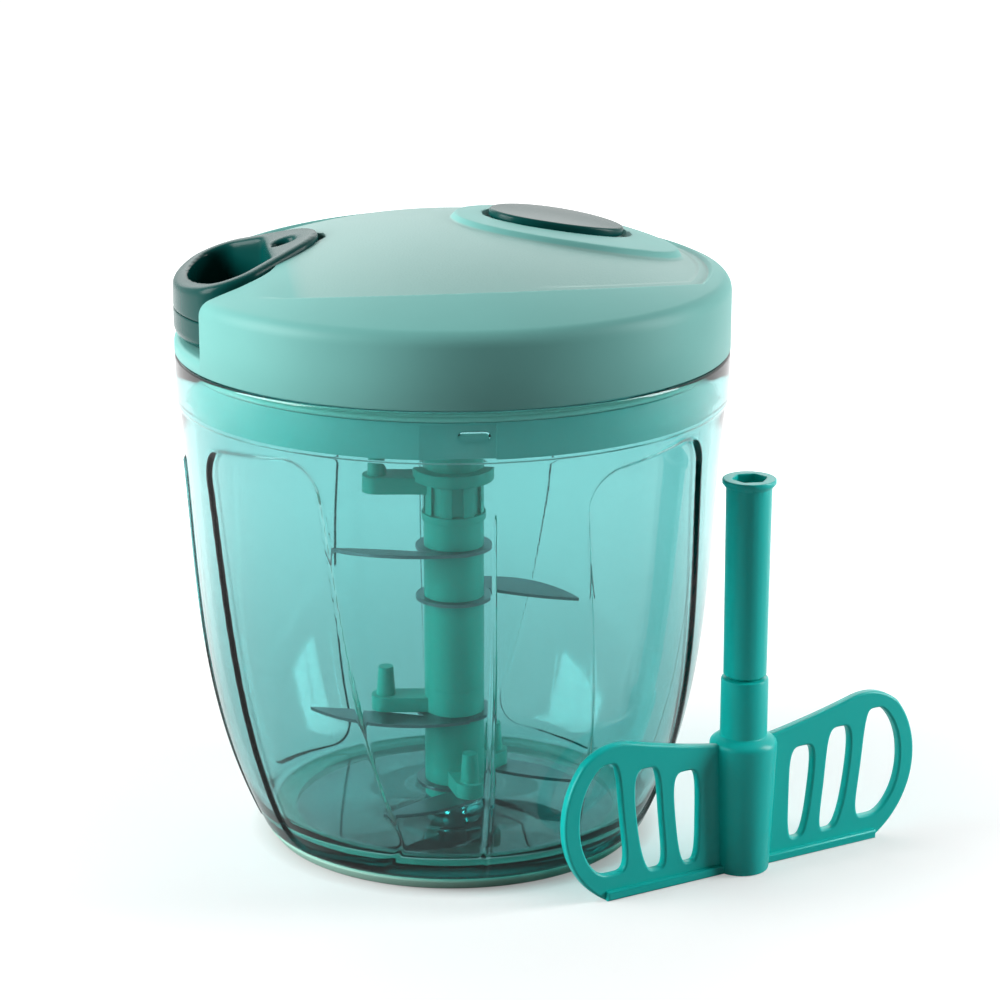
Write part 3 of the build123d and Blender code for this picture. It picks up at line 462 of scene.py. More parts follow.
def braid(name, colour):
    """Braided cord: crossed diagonal strands around it."""
    material, shader, tree = new_material(name)
    link = tree.links.new
    shader.inputs["Roughness"].default_value = BRAID_ROUGHNESS
    uv = add_node(tree, "ShaderNodeUVMap")
    waves = []
    for slant in (45, -45):
        turn = add_node(tree, "ShaderNodeMapping", {"Rotation": (0.0, 0.0, math.radians(slant))})
        link(uv.outputs["UV"], turn.inputs["Vector"])
        wave = add_node(tree, "ShaderNodeTexWave", {"Scale": BRAID_SCALE})
        link(turn.outputs["Vector"], wave.inputs["Vector"])
        waves.append(wave.outputs["Fac"])
    weave = math_of(tree, "MAXIMUM", *waves)
    tint = add_node(tree, "ShaderNodeValToRGB")
    for element, tone in zip(tint.color_ramp.elements, (BRAID_SHADE, 1.0)):
        element.color = toned(colour, tone)
    link(weave, tint.inputs["Fac"])
    link(tint.outputs["Color"], shader.inputs["Base Color"])
    bump(tree, shader, weave, 1.0, BRAID_DEPTH)
    return material


materials = {
    "bowl_clear": clear_plastic("bowl_clear"),
    "foot_soft": plastic("foot_soft", (0.34, 0.60, 0.50), 0.6, grain=0.3),
    # The lid's second colour is the leaf's painted sheen
    "lid_mint": lid_plastic("lid_mint", (0.19, 0.51, 0.47), (0.29, 0.51, 0.475)),
    "handle_green": plastic("handle_green", (0.001, 0.068, 0.061), 0.24, shine=0.12, grain=0.02, edge=0.3),
    "hub_teal": plastic("hub_teal", (0.018, 0.36, 0.29), 0.38, edge=0.3),
    "whisk_teal": plastic("whisk_teal", (0.006, 0.58, 0.53), 0.3, shine=0.35, grain=0.06),
    "blade_steel": steel("blade_steel", (0.2, 0.21, 0.22), 0.35),
    "plain_steel": steel("plain_steel", (0.55, 0.56, 0.57), 0.35),
    "inner_plastic": plastic("inner_plastic", (0.70, 0.72, 0.69), 0.45),
    "seal_rubber": plastic("seal_rubber", (0.45, 0.66, 0.58), 0.7, grain=0.3),
    "cord_fabric": braid("cord_fabric", (0.78, 0.79, 0.76)),
}

for entry in frame["record"]["subparts"]:
    mesh = nodes[entry["node"]].data
    mesh.materials.clear()
    mesh.materials.append(materials[entry["material_slot"]])


# Objects


def place_object(name, data):
    """New object in the scene."""
    piece = bpy.data.objects.new(name, data)
    scene.collection.objects.link(piece)
    return piece


def add_object(name, vertices, faces):
    """Object from points in millimetres and faces."""
    mesh = bpy.data.meshes.new(name)
    mesh.from_pydata([tuple(point) for point in np.asarray(vertices, float) * MM], [], faces)
    mesh.update()
    return place_object(name, mesh)


def settle(piece):
    """Turn an object's modifiers into its mesh."""
    view = bpy.context.evaluated_depsgraph_get()
    piece.data = bpy.data.meshes.new_from_object(piece.evaluated_get(view))
    piece.modifiers.clear()


def declare(piece, slot, node):
    """Finish of a new piece, and the node that it takes the place of."""
    piece.data.materials.clear()
    piece.data.materials.append(materials[slot])
    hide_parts(node)


def dress(piece, slot, body, node, sharp=SHARP_ANGLE):
    """Smooth shading, finish, replaced node and body of a new piece."""
    piece.data.shade_smooth()
    piece.data.set_sharp_from_angle(angle=math.radians(sharp))
    declare(piece, slot, node)
    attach(piece, body)


def join_mesh(piece, vertices, faces):
    """Add points and faces to a piece's mesh."""
    work = bmesh.new()
    work.from_mesh(piece.data)
    added = [work.verts.new(Vector(point) * MM) for point in vertices]
    for face in faces:
        work.faces.new([added[index] for index in face])
    bmesh.ops.recalc_face_normals(work, faces=work.faces)
    work.to_mesh(piece.data)
    work.free()


# Outlines and surfaces


def full_turn(count):
    """Even angles once round the axis."""
    return np.linspace(0, 2 * math.pi, count, endpoint=False)


def spread(spans):
    """Even steps over each (from, to, number) in turn."""
    return np.concatenate([np.linspace(*span) for span in spans])


def arc(centre, radius, start, end, count):
    """Points of an arc in the (radius, height) plane, with its angles in degrees."""
    return [
        (centre[0] + radius * math.cos(turn), centre[1] + radius * math.sin(turn))
        for turn in np.radians(np.linspace(start, end, count))
    ]


def curve(start, corner, end, shares):
    """Points of the curve that leaves start towards a corner and comes to end from it."""
    return [start * (1 - s) ** 2 + corner * 2 * s * (1 - s) + end * s**2 for s in shares]


def ring(reach, height, angles):
    """Ring of points round the axis; its reach is one number, or one for each angle."""
    return np.stack([reach * np.cos(angles), reach * np.sin(angles), np.full(len(angles), height)], 1)


def circle_rows(profile, angles):
    """Rings of points round the axis for each (radius, height) of a profile."""
    return [ring(radius, height, angles) for radius, height in profile]


def skin(rows, closed=False):
    """Points and faces of a surface through rows of points, capped at both ends where it isn't closed."""
    count = len(rows[0])
    faces = []
    pairs = [(row, row + 1) for row in range(len(rows) - 1)]
    if closed:
        pairs.append((len(rows) - 1, 0))
    for low, high in pairs:
        for column in range(count):
            after = (column + 1) % count
            lower = (low * count + column, low * count + after)
            upper = (high * count + after, high * count + column)
            faces.append(lower + upper)
    if not closed:
        faces.append(tuple(range(count - 1, -1, -1)))
        last = (len(rows) - 1) * count
        faces.append(tuple(range(last, last + count)))
    return np.concatenate(rows), faces


def prism(outline, bottom, top):
    """Points and faces of an upright prism on an outline."""
    count = len(outline)
    vertices = [(x, y, bottom) for x, y in outline] + [(x, y, top) for x, y in outline]
    faces = [tuple(range(count - 1, -1, -1)), tuple(range(count, 2 * count))]
    faces += [(i, (i + 1) % count, count + (i + 1) % count, count + i) for i in range(count)]
    return vertices, faces


def lathe(name, profile, slot, body, node):
    """Turned ring from a closed profile of (radius, height) points."""
    vertices, faces = skin(circle_rows(profile, full_turn(LATHE_COLUMNS)), closed=True)
    dress(add_object(name, vertices, faces), slot, body, node)


# Bowl

wall_fit = np.polyfit(WALL_HEIGHTS, WALL_RADII, 3)


def wall_radius(height):
    """Outside radius of the bowl's tapering wall."""
    return np.polyval(wall_fit, height)


def rounded_box(across, up, width, height, corner):
    """Distance to a rounded rectangle, negative inside it."""
    side = np.abs(across) - width / 2 + corner
    top = np.abs(up) - height / 2 + corner
    outside = np.hypot(np.maximum(side, 0), np.maximum(top, 0))
    return outside + np.minimum(np.maximum(side, top), 0) - corner


def across_from(angles, centre, radius):
    """Distance round the bowl from a centre angle, and whether a point is on that side."""
    turn = (angles - centre + math.pi) % (2 * math.pi) - math.pi
    return radius * np.sin(turn), np.abs(turn) < math.pi / 2


def moulded_ring(height, angles):
    """Ring on the bowl's outside, with its panels sunk and its needle ridges raised."""
    radius = float(wall_radius(height))
    reach = np.full(len(angles), radius)
    bottom, top = PANEL_RANGE
    level = height - (bottom + top) / 2
    for quarter in QUARTERS:
        across, near = across_from(angles, PANEL_ANGLE + quarter, radius)
        along = across * math.cos(PANEL_LEAN) + level * math.sin(PANEL_LEAN)
        up = level * math.cos(PANEL_LEAN) - across * math.sin(PANEL_LEAN)
        distance = rounded_box(along, up, PANEL_WIDTH, top - bottom, PANEL_CORNER)
        reach -= np.where(near, PANEL_DEPTH * smooth(-distance, 0, PANEL_BEVEL), 0)
        if height < RIDGE_TOP:
            across, near = across_from(angles, RIDGE_ANGLE + quarter, radius)
            taper = (RIDGE_TOP - height) / (RIDGE_TOP - BOWL_BOTTOM)
            half = RIDGE_WIDTH / 2 * taper + RIDGE_POINT
            reach += np.where(near, RIDGE_HEIGHT * smooth(half - np.abs(across), 0, half), 0)
    return ring(reach, height, angles)


def lug_ring(height, angles):
    """Ring on the inside of the bowl's rim, with the two lugs that guide the lid."""
    reach = np.full(len(angles), INNER_RADIUS)
    for side in (0, math.pi):
        across, near = across_from(angles, LUG_ANGLE + side, INNER_RADIUS)
        distance = rounded_box(across, height - LUG_LEVEL, *LUG_SIZE, LUG_SIZE[1] / 2)
        reach -= np.where(near, LUG_DEPTH * smooth(-distance, 0, LUG_BEVEL), 0)
    return ring(reach, height, angles)


def bowl_lining():
    """Profile of the bowl's inside, from its rim down the wall to the hole for the pin."""
    fillet_top = FLOOR_TOP + FLOOR_FILLET
    lining = [(INNER_RADIUS, BAND_BOTTOM + BOWL_WALL)]
    for height in (BAND_BOTTOM, *np.linspace(LINING_TOP, fillet_top, LINING_ROWS)):
        lining.append((wall_radius(height) - BOWL_WALL, height))
    start = Vector((float(wall_radius(fillet_top)) - BOWL_WALL, fillet_top))
    corner = Vector((float(wall_radius(FLOOR_TOP)) - BOWL_WALL, FLOOR_TOP))
    end = corner - Vector((FLOOR_FILLET, 0.0))
    lining += [tuple(point) for point in curve(start, corner, end, FILLET_SHARES)]
    lining += [(FLOOR_MIDDLE, FLOOR_TOP), (BOSS_RADIUS + BOSS_BEVEL, FLOOR_TOP)]
    lining += [(BOSS_RADIUS, FLOOR_TOP + BOSS_BEVEL), (BOSS_RADIUS, BOSS_TOP - BOSS_BEVEL)]
    lining += [(BOSS_RADIUS - BOSS_BEVEL, BOSS_TOP), (PIN_HOLE, BOSS_TOP)]
    return lining + [(PIN_HOLE, PIN_BOTTOM), (AXIS_GAP, PIN_BOTTOM)]


def make_bowl():
    """Bowl: up the moulded outside, over the rim and down the inside."""
    columns = [full_turn(BOWL_COLUMNS)]
    columns += [RIDGE_ANGLE + quarter + np.radians(RIDGE_COLUMNS) for quarter in QUARTERS]
    angles = np.unique(np.round(np.concatenate(columns) % (2 * math.pi), 6))
    rim_level = RIM_HEIGHT - RIM_ROUND
    rim = arc((RIM_RADIUS - RIM_ROUND, rim_level), RIM_ROUND, 0, 90, RIM_POINTS)
    rim += arc((INNER_RADIUS + RIM_ROUND, rim_level), RIM_ROUND, 90, 180, RIM_POINTS)
    rows = circle_rows(UNDERSIDE, angles)
    rows += [moulded_ring(float(height), angles) for height in spread(BOWL_ROWS)]
    rows += circle_rows([*BAND_EDGE, *rim], angles)
    rows += [lug_ring(float(height), angles) for height in np.linspace(*LUG_ROWS)]
    rows += circle_rows(bowl_lining(), angles)
    vertices, faces = skin(rows)
    dress(add_object("bowl_dressed", vertices, faces), "bowl_clear", "bowl", "bowl", sharp=60.0)


make_bowl()

# Foot ring and seal

lathe(
    "foot_ring_dressed",
    [(FOOT_RADIUS - FOOT_WIDTH, FOOT_TOP), (FOOT_RADIUS - FOOT_WIDTH, FOOT_BEVEL)]
    + [(FOOT_RADIUS - FOOT_WIDTH + FOOT_BEVEL, 0.0), (FOOT_RADIUS - FOOT_FLAT, 0.0)]
    + arc((FOOT_RADIUS - FOOT_CURVE_INSET, FOOT_CURVE), FOOT_CURVE, -90, -20, FOOT_POINTS)
    + arc((FOOT_RADIUS - FOOT_LIP, FOOT_TOP - FOOT_LIP), FOOT_LIP, -20, 90, FOOT_POINTS),
    "foot_soft",
    "bowl",
    "foot_ring",
)
low_seal, high_seal = (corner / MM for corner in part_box("lid_seal"))
seal_bottom = low_seal.z + SEAL_GAP
seal_top = high_seal.z - SEAL_GAP
seal_round = high_seal.x - SEAL_ROUND
lathe(
    "lid_seal_dressed",
    [(high_seal.x - SEAL_WIDTH, seal_bottom), (seal_round, seal_bottom)]
    + arc((seal_round, seal_bottom + SEAL_ROUND), SEAL_ROUND, -90, 80, SEAL_POINTS)
    + arc((seal_round, seal_top - SEAL_ROUND), SEAL_ROUND, -80, 90, SEAL_POINTS)
    + [(high_seal.x - SEAL_WIDTH, seal_top)],
    "seal_rubber",
    "lid",
    "lid_seal",
)


# Lid


def lid_outline(radius):
    """Height of the lid's plain outside at a radius: its dome, then its rounded edge."""
    if radius < EDGE_START:
        return DOME_CENTRE + math.sqrt(DOME_RADIUS**2 - radius**2)
    return EDGE_CENTRE + math.sqrt(max(LID_EDGE**2 - (radius - RIM_RADIUS + LID_EDGE) ** 2, 0.0))


def oval(x, y, centre, half_length, half_width):
    """Distance to an oval's edge, negative inside it."""
    share = np.hypot((x - centre) / half_length, y / half_width) + TINY
    slope = np.hypot((x - centre) / half_length**2, y / half_width**2) + TINY
    return share * (share - 1) / slope


def leaf_sink(x, y):
    """Depth of the lid's face below its dome: the leaf, its second step and the cap's seat."""
    circles = np.maximum(np.hypot(x, y - LEAF_OFFSET), np.hypot(x, y + LEAF_OFFSET)) - LEAF_RADIUS
    inside = -np.maximum(circles, np.hypot(x, y) - LEAF_REACH)
    beside = smooth(oval(x, y, *BEZEL), 0, BEZEL_BEVEL)
    sink = LEAF_DEPTH * smooth(inside, 0, LEAF_BEVEL) * beside * smooth(x, *LEAF_FADE)
    sink += LIP_DEPTH * smooth(inside, LIP_INSET, LIP_INSET + LIP_BEVEL) * beside * smooth(x, *LIP_FADE)
    return sink + CAP_SEAT * smooth(-oval(x, y, *CAP), *SEAT_EDGE)


def well_path(margin):
    """Edge of the well from one side of the rim round the handle's tip to the other, with a margin."""
    away = math.hypot(TIP_CENTRE - SHOULDER[0], SHOULDER[1])
    facing = math.atan2(SHOULDER[1], TIP_CENTRE - SHOULDER[0])
    turn = math.pi / 2 - facing - math.asin((TIP_RADIUS - SHOULDER_RADIUS) / away)
    width = SHOULDER[1] + SHOULDER_RADIUS + margin
    start = -math.sqrt(WELL_RIM**2 - width**2)
    half = [(x, width) for x in np.linspace(start, SHOULDER[0] - SHOULDER_STEP, WELL_RIM_POINTS)]
    reach = SHOULDER_RADIUS + margin
    for angle in np.linspace(math.pi / 2, turn, SHOULDER_POINTS):
        half.append((SHOULDER[0] + reach * math.cos(angle), SHOULDER[1] + reach * math.sin(angle)))
    reach = TIP_RADIUS + margin
    for angle in np.linspace(turn, 0, TIP_POINTS):
        half.append((TIP_CENTRE + reach * math.cos(angle), reach * math.sin(angle)))
    return half + [(x, -y) for x, y in reversed(half[:-1])]


def lid_shell():
    """Domed shell of the lid, with its leaf and the seat of its cap."""
    angles = full_turn(LID_COLUMNS)
    rows = []
    for radius in spread(LID_ROWS):
        x, y = radius * np.cos(angles), radius * np.sin(angles)
        depth = np.sqrt(DOME_RADIUS**2 - radius**2) - leaf_sink(x, y)
        rows.append(np.stack([x, y, DOME_CENTRE + depth], 1))
    edge = [(radius, lid_outline(radius)) for radius in LID_EDGE_RADII]
    edge += [*LID_OUTER_WALL, *LID_INNER_WALL]
    for radius in LID_INSIDE_RADII:
        edge.append((radius, DOME_CENTRE + math.sqrt((DOME_RADIUS - LID_SHELL) ** 2 - radius**2)))
    rows += circle_rows(edge, angles)
    vertices, faces = skin([row[::-1] for row in rows])
    return add_object("lid_cover_dressed", vertices, faces)


def cut_well(piece):
    """Cut the opening of the well out of the lid's shell."""
    path = well_path(WELL_GAP)
    outline = [(-WELL_CUT_REACH, path[0][1]), *path, (-WELL_CUT_REACH, path[-1][1])]
    vertices, faces = prism(outline[::-1], LEDGE_TOP, WELL_CUT_TOP)
    cutter = add_object("well_cutter", vertices, faces)
    cut = piece.modifiers.new("cut", "BOOLEAN")
    cut.operation = "DIFFERENCE"
    cut.solver = "EXACT"
    cut.object = cutter
    settle(piece)
    bpy.data.objects.remove(cutter)


def on_ledge(spot):
    """Whether a point in millimetres is on the outer edge of the well's floor."""
    return abs(spot.z - LEDGE_TOP) < TOUCH and math.hypot(spot.x, spot.y) > LEDGE_EDGE


def round_ledge(piece):
    """Round the outer edge of the well's floor."""
    work = bmesh.new()
    work.from_mesh(piece.data)
    ledge = [edge for edge in work.edges if all(on_ledge(vertex.co / MM) for vertex in edge.verts)]
    width = LEDGE_BEVEL * MM
    bmesh.ops.bevel(work, geom=ledge, offset=width, segments=BEVEL_STEPS, profile=0.5, affect="EDGES")
    work.to_mesh(piece.data)
    work.free()


def line_well(piece):
    """Add the well's wall and its floor to the lid."""
    bottom = LEDGE_TOP - WELL_FLOOR
    rows = []
    for near, far in zip(well_path(WELL_GAP + LINER_GAP), well_path(WELL_GAP + WELL_WALL)):
        tops = [lid_outline(min(math.hypot(*spot), LINER_REACH)) - LINER_DROP for spot in (near, far)]
        rows.append([(*near, bottom), (*near, tops[0]), (*far, tops[1]), (*far, bottom)])
    join_mesh(piece, *skin(rows))
    slab = [spot for spot in well_path(WELL_GAP + SLAB_GAP) if math.hypot(*spot) < SLAB_REACH]
    first, last = (math.atan2(y, -x) for x, y in (slab[0], slab[-1]))
    for turn in np.linspace(last, first, SLAB_POINTS):
        slab.append((-SLAB_REACH * math.cos(turn), SLAB_REACH * math.sin(turn)))
    join_mesh(piece, *prism(slab, bottom, LEDGE_TOP - SLAB_DROP))


def make_lid():
    """Lid: its shell with the well cut out and lined."""
    piece = lid_shell()
    cut_well(piece)
    round_ledge(piece)
    line_well(piece)
    dress(piece, "lid_mint", "lid", "lid_cover", sharp=35.0)


make_lid()


# Pieces with rounded edges


def copy_piece(node, merge_angle):
    """Copy of a node with its points joined and its flat faces merged."""
    work = bmesh.new()
    work.from_mesh(nodes[node].data)
    bmesh.ops.remove_doubles(work, verts=work.verts, dist=JOIN_DISTANCE * MM)
    limit = math.radians(merge_angle)
    bmesh.ops.dissolve_limit(work, angle_limit=limit, verts=work.verts, edges=work.edges)
    mesh = bpy.data.meshes.new(node + "_dressed")
    work.to_mesh(mesh)
    work.free()
    return place_object(node + "_dressed", mesh)


def soften(node, slot, body, width):
    """Copy of a node with its sharp edges rounded."""
    piece = copy_piece(node, MERGE_ANGLE)
    round_off = piece.modifiers.new("round", "BEVEL")
    round_off.limit_method = "ANGLE"
    round_off.angle_limit = math.radians(SHARP_ANGLE)
    round_off.width = width * MM
    round_off.segments = 3
    round_off.use_clamp_overlap = False
    round_off.miter_outer = "MITER_ARC"
    settle(piece)
    piece.data.shade_smooth()
    piece.modifiers.new("flat", "WEIGHTED_NORMAL")
    settle(piece)
    declare(piece, slot, node)
    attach(piece, body)


def melt(node, slot, body, grid, turns):
    """Copy of a node with its rim melted round, less towards its bottom."""
    piece = copy_piece(node, FLAT_ANGLE)
    even = piece.modifiers.new("even", "REMESH")
    even.mode = "VOXEL"
    even.voxel_size = grid * MM
    settle(piece)
    heights = [vertex.co.z for vertex in piece.data.vertices]
    low = min(heights)
    full = low + MELT_RISE * (max(heights) - low)
    top = piece.vertex_groups.new(name="top")
    for index, height in enumerate(heights):
        share = MELT_LEAST + (1 - MELT_LEAST) * float(smooth(height, low, full))
        top.add([index], share, "REPLACE")
    flow = piece.modifiers.new("flow", "SMOOTH")
    flow.factor = 0.5
    flow.iterations = turns
    flow.vertex_group = "top"
    settle(piece)
    dress(piece, slot, body, node)


soften("whisk_stem", "whisk_teal", "whisk", width=0.35)
melt("handle_upper", "handle_green", "handle", grid=0.3, turns=80)
soften("handle_lower", "handle_green", "handle", width=0.3)


# Whisk paddle


def arc_through(start, middle, end, count):
    """Points of the arc through three points."""
    (ax, ay), (bx, by), (cx, cy) = start, middle, end
    scale = 2 * (ax * (by - cy) + bx * (cy - ay) + cx * (ay - by))
    a2, b2, c2 = ax * ax + ay * ay, bx * bx + by * by, cx * cx + cy * cy
    x = (a2 * (by - cy) + b2 * (cy - ay) + c2 * (ay - by)) / scale
    y = (a2 * (cx - bx) + b2 * (ax - cx) + c2 * (bx - ax)) / scale
    first, mid, last = (math.atan2(p[1] - y, p[0] - x) for p in (start, middle, end))
    span = (last - first) % (2 * math.pi)
    if (mid - first) % (2 * math.pi) > span:
        span -= 2 * math.pi
    radius = math.hypot(ax - x, ay - y)
    turns = first + span * np.linspace(0, 1, count)
    return [(x + radius * math.cos(turn), y + radius * math.sin(turn)) for turn in turns]


def slot_edge(start, lean, bow):
    """Edge of a slot as a function of the height."""

    def edge(height):
        level = height - SLOT_MIDDLE
        return start + lean * level / SLOT_LEAN_SPAN + bow * (1 - (level / SLOT_BOW_SPAN) ** 2)

    return edge


def slot_loop(low, high, left, right):
    """Loop of a slot between two edges, with rounded ends."""
    loop = []
    for sign in (1, -1):
        for turn in np.linspace(-math.pi / 2, math.pi / 2, SLOT_POINTS, endpoint=False):
            share = sign * math.sin(turn)
            height = (low + high) / 2 + (high - low) / 2 * share
            narrow = (1 - abs(share) ** SLOT_SQUARENESS) ** (1 / SLOT_SQUARENESS)
            half = (right(height) - left(height)) / 2 * narrow
            loop.append(((left(height) + right(height)) / 2 + sign * half, height))
    return loop


def plate(loops, thickness, rounding):
    """Points and faces of a flat plate with openings and rounded edges, drawn in its own plane."""
    drawing = bpy.data.curves.new("plate", "CURVE")
    drawing.dimensions = "2D"
    drawing.fill_mode = "BOTH"
    drawing.extrude = (thickness / 2 - rounding) * MM
    drawing.bevel_depth = rounding * MM
    drawing.bevel_resolution = 2
    drawing.offset = -rounding * MM
    for loop in loops:
        spline = drawing.splines.new("POLY")
        spline.points.add(len(loop) - 1)
        for point, spot in zip(spline.points, loop):
            point.co = (spot[0] * MM, spot[1] * MM, 0.0, 1.0)
        spline.use_cyclic_u = True
    holder = place_object("plate", drawing)
    view = bpy.context.evaluated_depsgraph_get()
    mesh = bpy.data.meshes.new_from_object(holder.evaluated_get(view))
    bpy.data.objects.remove(holder)
    vertices = [tuple(vertex.co / MM) for vertex in mesh.vertices]
    return vertices, [tuple(face.vertices) for face in mesh.polygons]


def mirrored(loop):
    """Loop on the other side of the whisk's axis."""
    return [(-u, height) for u, height in loop]


def wing_loops():
    """Outline of the two wings and the loops of their slots."""
    side = arc_through((WING_FOOT, 0.0), WING_SIDE, WING_TIP, WING_POINTS)
    top = arc_through(WING_TIP, (WING_TIP[0] / 2, WING_DIP), (0.0, WING_ROOT), WING_POINTS)
    rise = [spot for spot in side if math.dist(spot, WING_TIP) > WING_ROUND]
    fall = [spot for spot in top if math.dist(spot, WING_TIP) > WING_ROUND]
    tip = curve(Vector(rise[-1]), Vector(WING_TIP), Vector(fall[0]), TIP_SHARES)
    half = [(WING_START, 0.0)] + rise + [tuple(spot) for spot in tip] + fall
    spans, heights = zip(*side)

    def border(height):
        return float(np.interp(height, heights, spans)) - WING_BORDER

    slots = []
    for (low, high), left, right in WING_SLOTS:
        outer = slot_edge(*right) if right else border
        slots.append(slot_loop(low, high, slot_edge(*left), outer))
    return [half + mirrored(half)[::-1]] + slots + [mirrored(slot) for slot in slots]


def make_paddle():
    """Paddle of the whisk: a turned body, two slotted wings and a bar along their foot."""
    vertices, faces = skin(circle_rows(PADDLE_BODY, full_turn(PADDLE_COLUMNS)))
    piece = add_object("whisk_paddle_dressed", vertices + np.array([*WHISK_SPOT, 0.0]), faces)
    bar = [(-WING_FOOT, 0.0), (WING_FOOT, 0.0), (WING_FOOT, FOOT_BAR_HEIGHT), (-WING_FOOT, FOOT_BAR_HEIGHT)]
    plates = [plate(wing_loops(), WING_THICKNESS, WING_EDGE), plate([bar], FOOT_BAR_WIDTH, FOOT_BAR_EDGE)]
    x, y = WHISK_SPOT
    cosine = math.cos(WING_ANGLE)
    sine = math.sin(WING_ANGLE)
    for vertices, faces in plates:
        placed = [(x + u * cosine + w * sine, y + u * sine - w * cosine, height) for u, height, w in vertices]
        join_mesh(piece, placed, faces)
    dress(piece, "whisk_teal", "whisk", "whisk_paddle", sharp=35.0)


make_paddle()


# Cord


def cord_path(low, high):
    """Middle of the cord: wound on the spool, off it round into the guide, and along it into the handle."""
    winding = high.y - CORD_RADIUS
    bottom = low.z + CORD_RADIUS
    level = high.z - CORD_RADIUS
    leave = math.pi - math.acos(winding / CORD_CORNER)
    rise = CORD_PITCH / (2 * math.pi)
    first = leave - 2 * math.pi * CORD_TURNS
    path = [
        Vector((winding * math.cos(turn), winding * math.sin(turn), bottom + rise * (turn - first)))
        for turn in np.linspace(first, leave, CORD_STEPS)
    ]
    corner = Vector((-CORD_CORNER, 0.0, level))
    start = path[-1]
    before = corner - (corner - start).normalized() * CORD_BEND
    after = corner - Vector((CORD_BEND, 0.0, 0.0))
    path += [start.lerp(before, share) for share in (0.25, 0.5, 0.75, 1.0)]
    path += curve(before, corner, after, (0.2, 0.4, 0.6, 0.8, 1.0))
    run = np.linspace(after.x - CORD_RUN_GAP, low.x, CORD_RUN_STEPS)
    return path + [Vector((x, 0.0, level)) for x in run]


def make_cord():
    """Pull cord with its length in its UV map."""
    low, high = (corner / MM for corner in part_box("pull_cord"))
    path = cord_path(low, high)
    turns = full_turn(CORD_SIDES)
    reach = CORD_RADIUS * CORD_TRIM
    rows = []
    lengths = []
    length = 0.0
    for index, spot in enumerate(path):
        before = path[max(index - 1, 0)]
        ahead = (path[min(index + 1, len(path) - 1)] - before).normalized()
        across = ahead.cross(Vector((0, 0, 1))).normalized()
        up = across.cross(ahead)
        length += (spot - before).length
        lengths.append(length)
        rows.append([spot + (across * math.cos(turn) + up * math.sin(turn)) * reach for turn in turns])
    marks = []
    for start, end in zip(lengths, lengths[1:]):
        for side in range(CORD_SIDES):
            left, right = side / 2, (side + 1) / 2
            marks += [left, start, right, start, right, end, left, end]
    marks += [0.0] * (4 * CORD_SIDES)
    vertices, faces = skin(rows)
    piece = add_object("pull_cord_dressed", vertices, faces)
    piece.data.uv_layers.new(name="length").data.foreach_set("uv", marks)
    piece.data.shade_smooth()
    declare(piece, "cord_fabric", "pull_cord")
    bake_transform(piece)


make_cord()


# Studio


def shown_rays(tree, place, sides):
    """1 for rays that show the backdrop; in gloss it dims along Y towards the camera's side."""
    axes = add_node(tree, "ShaderNodeSeparateXYZ")
    tree.links.new(place, axes.inputs["Vector"])
    side = map_range(tree, axes.outputs["Y"], GLOSS_FRONT, 1.0, *sides)
    path = add_node(tree, "ShaderNodeLightPath").outputs
    gloss = math_of(tree, "MULTIPLY", path["Is Glossy Ray"], side)
    straight = math_of(tree, "MAXIMUM", path["Is Camera Ray"], path["Is Transmission Ray"])
    return math_of(tree, "MAXIMUM", straight, gloss)


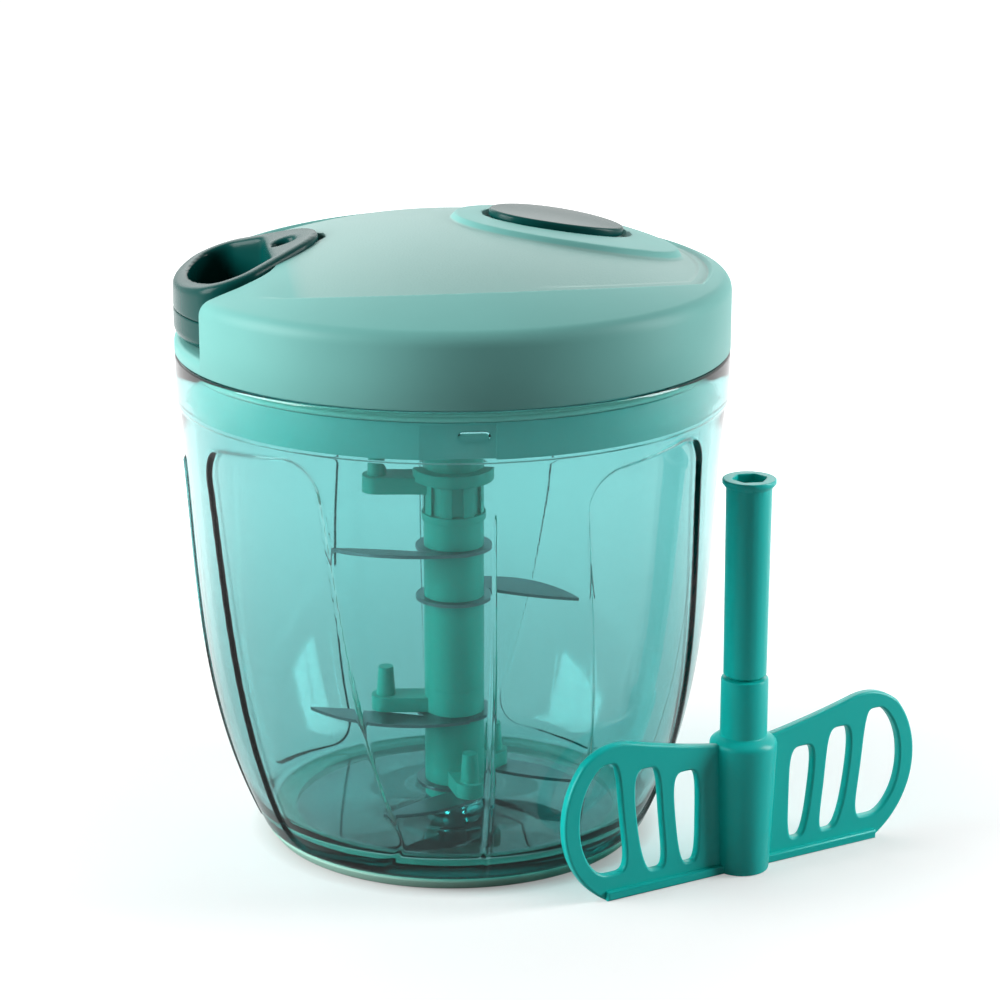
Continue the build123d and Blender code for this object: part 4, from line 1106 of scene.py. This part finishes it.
def make_floor():
    """White floor that keeps the shadow, with a painted shadow under the bowl and a painted glow that is
    weaker near it.
    """
    half = FLOOR_HALF
    corners = [(-half, -half, 0), (half, -half, 0), (half, half, 0), (-half, half, 0)]
    mesh = bpy.data.meshes.new("floor")
    mesh.from_pydata(corners, [], [(0, 1, 2, 3)])
    floor = place_object("floor", mesh)
    paint, shader, tree = new_material("floor")
    shader.inputs["Roughness"].default_value = FLOOR_ROUGHNESS
    shader.inputs["Specular IOR Level"].default_value = 0.0
    shader.inputs["Emission Color"].default_value = WHITE
    place = add_node(tree, "ShaderNodeTexCoord").outputs["Object"]
    seen = shown_rays(tree, place, FLOOR_SIDES)
    away = vector_math(tree, "LENGTH", place).outputs["Value"]
    # Painted glow of the seen floor, weaker near the bowl so that the lamps' shadows show there
    glow = map_range(tree, away, *GLOW_STRENGTH, *GLOW_REACH, kind="SMOOTHSTEP")
    # Painted shadow: the floor's colour and glow are darker under the bowl
    under_bowl_shadow = map_range(tree, away, *UNDER_BOWL_SHADOW_SHARE, *UNDER_BOWL_SHADOW_REACH)
    base = math_of(tree, "MULTIPLY", map_range(tree, seen, *FLOOR_TONES), under_bowl_shadow)
    shown = math_of(tree, "MULTIPLY", math_of(tree, "MULTIPLY", seen, glow), under_bowl_shadow)
    tree.links.new(base, shader.inputs["Base Color"])
    tree.links.new(shown, shader.inputs["Emission Strength"])
    mesh.materials.append(paint)


def make_world():
    """Surround that is dim as light and white where it is seen."""
    world = bpy.data.worlds.new("surround")
    world.use_nodes = True
    scene.world = world
    tree = world.node_tree
    back = tree.nodes["Background"]
    back.inputs["Color"].default_value = WHITE
    place = add_node(tree, "ShaderNodeTexCoord").outputs["Generated"]
    seen = shown_rays(tree, place, WORLD_SIDES)
    tree.links.new(map_range(tree, seen, *WORLD_TONES), back.inputs["Strength"])


def add_lamp(name, place, target, size, power):
    """Soft rectangular lamp that points at a target."""
    light = bpy.data.lights.new(name, "AREA")
    light.shape = "RECTANGLE"
    light.size, light.size_y = size
    light.energy = power
    lamp = place_object(name, light)
    lamp.location = place
    lamp.rotation_euler = (Vector(target) - Vector(place)).to_track_quat("-Z", "Y").to_euler()


def add_camera():
    """Camera at the photo's viewing angle."""
    camera = bpy.data.cameras.new("camera")
    camera.sensor_width = CAMERA_SENSOR
    camera.lens = CAMERA_LENS
    holder = place_object("camera", camera)
    holder.location = CAMERA_PLACE
    holder.rotation_euler = Euler((math.radians(90 - CAMERA_DOWN), 0.0, math.radians(CAMERA_TURN)))
    scene.camera = holder


make_floor()
make_world()
add_lamp("key", place=(-0.85, -0.06, 0.42), target=(0, 0, 0.09), size=(0.55, 0.6), power=12.0)
add_lamp("strip", place=(0.7, -0.1, 0.33), target=(0, 0, 0.1), size=(0.25, 0.6), power=5.0)
add_lamp("back", place=(0.0, 0.8, 0.7), target=(0, 0, 0.12), size=(1.2, 0.8), power=5.2)
add_camera()
scene.view_settings.view_transform = "Standard"
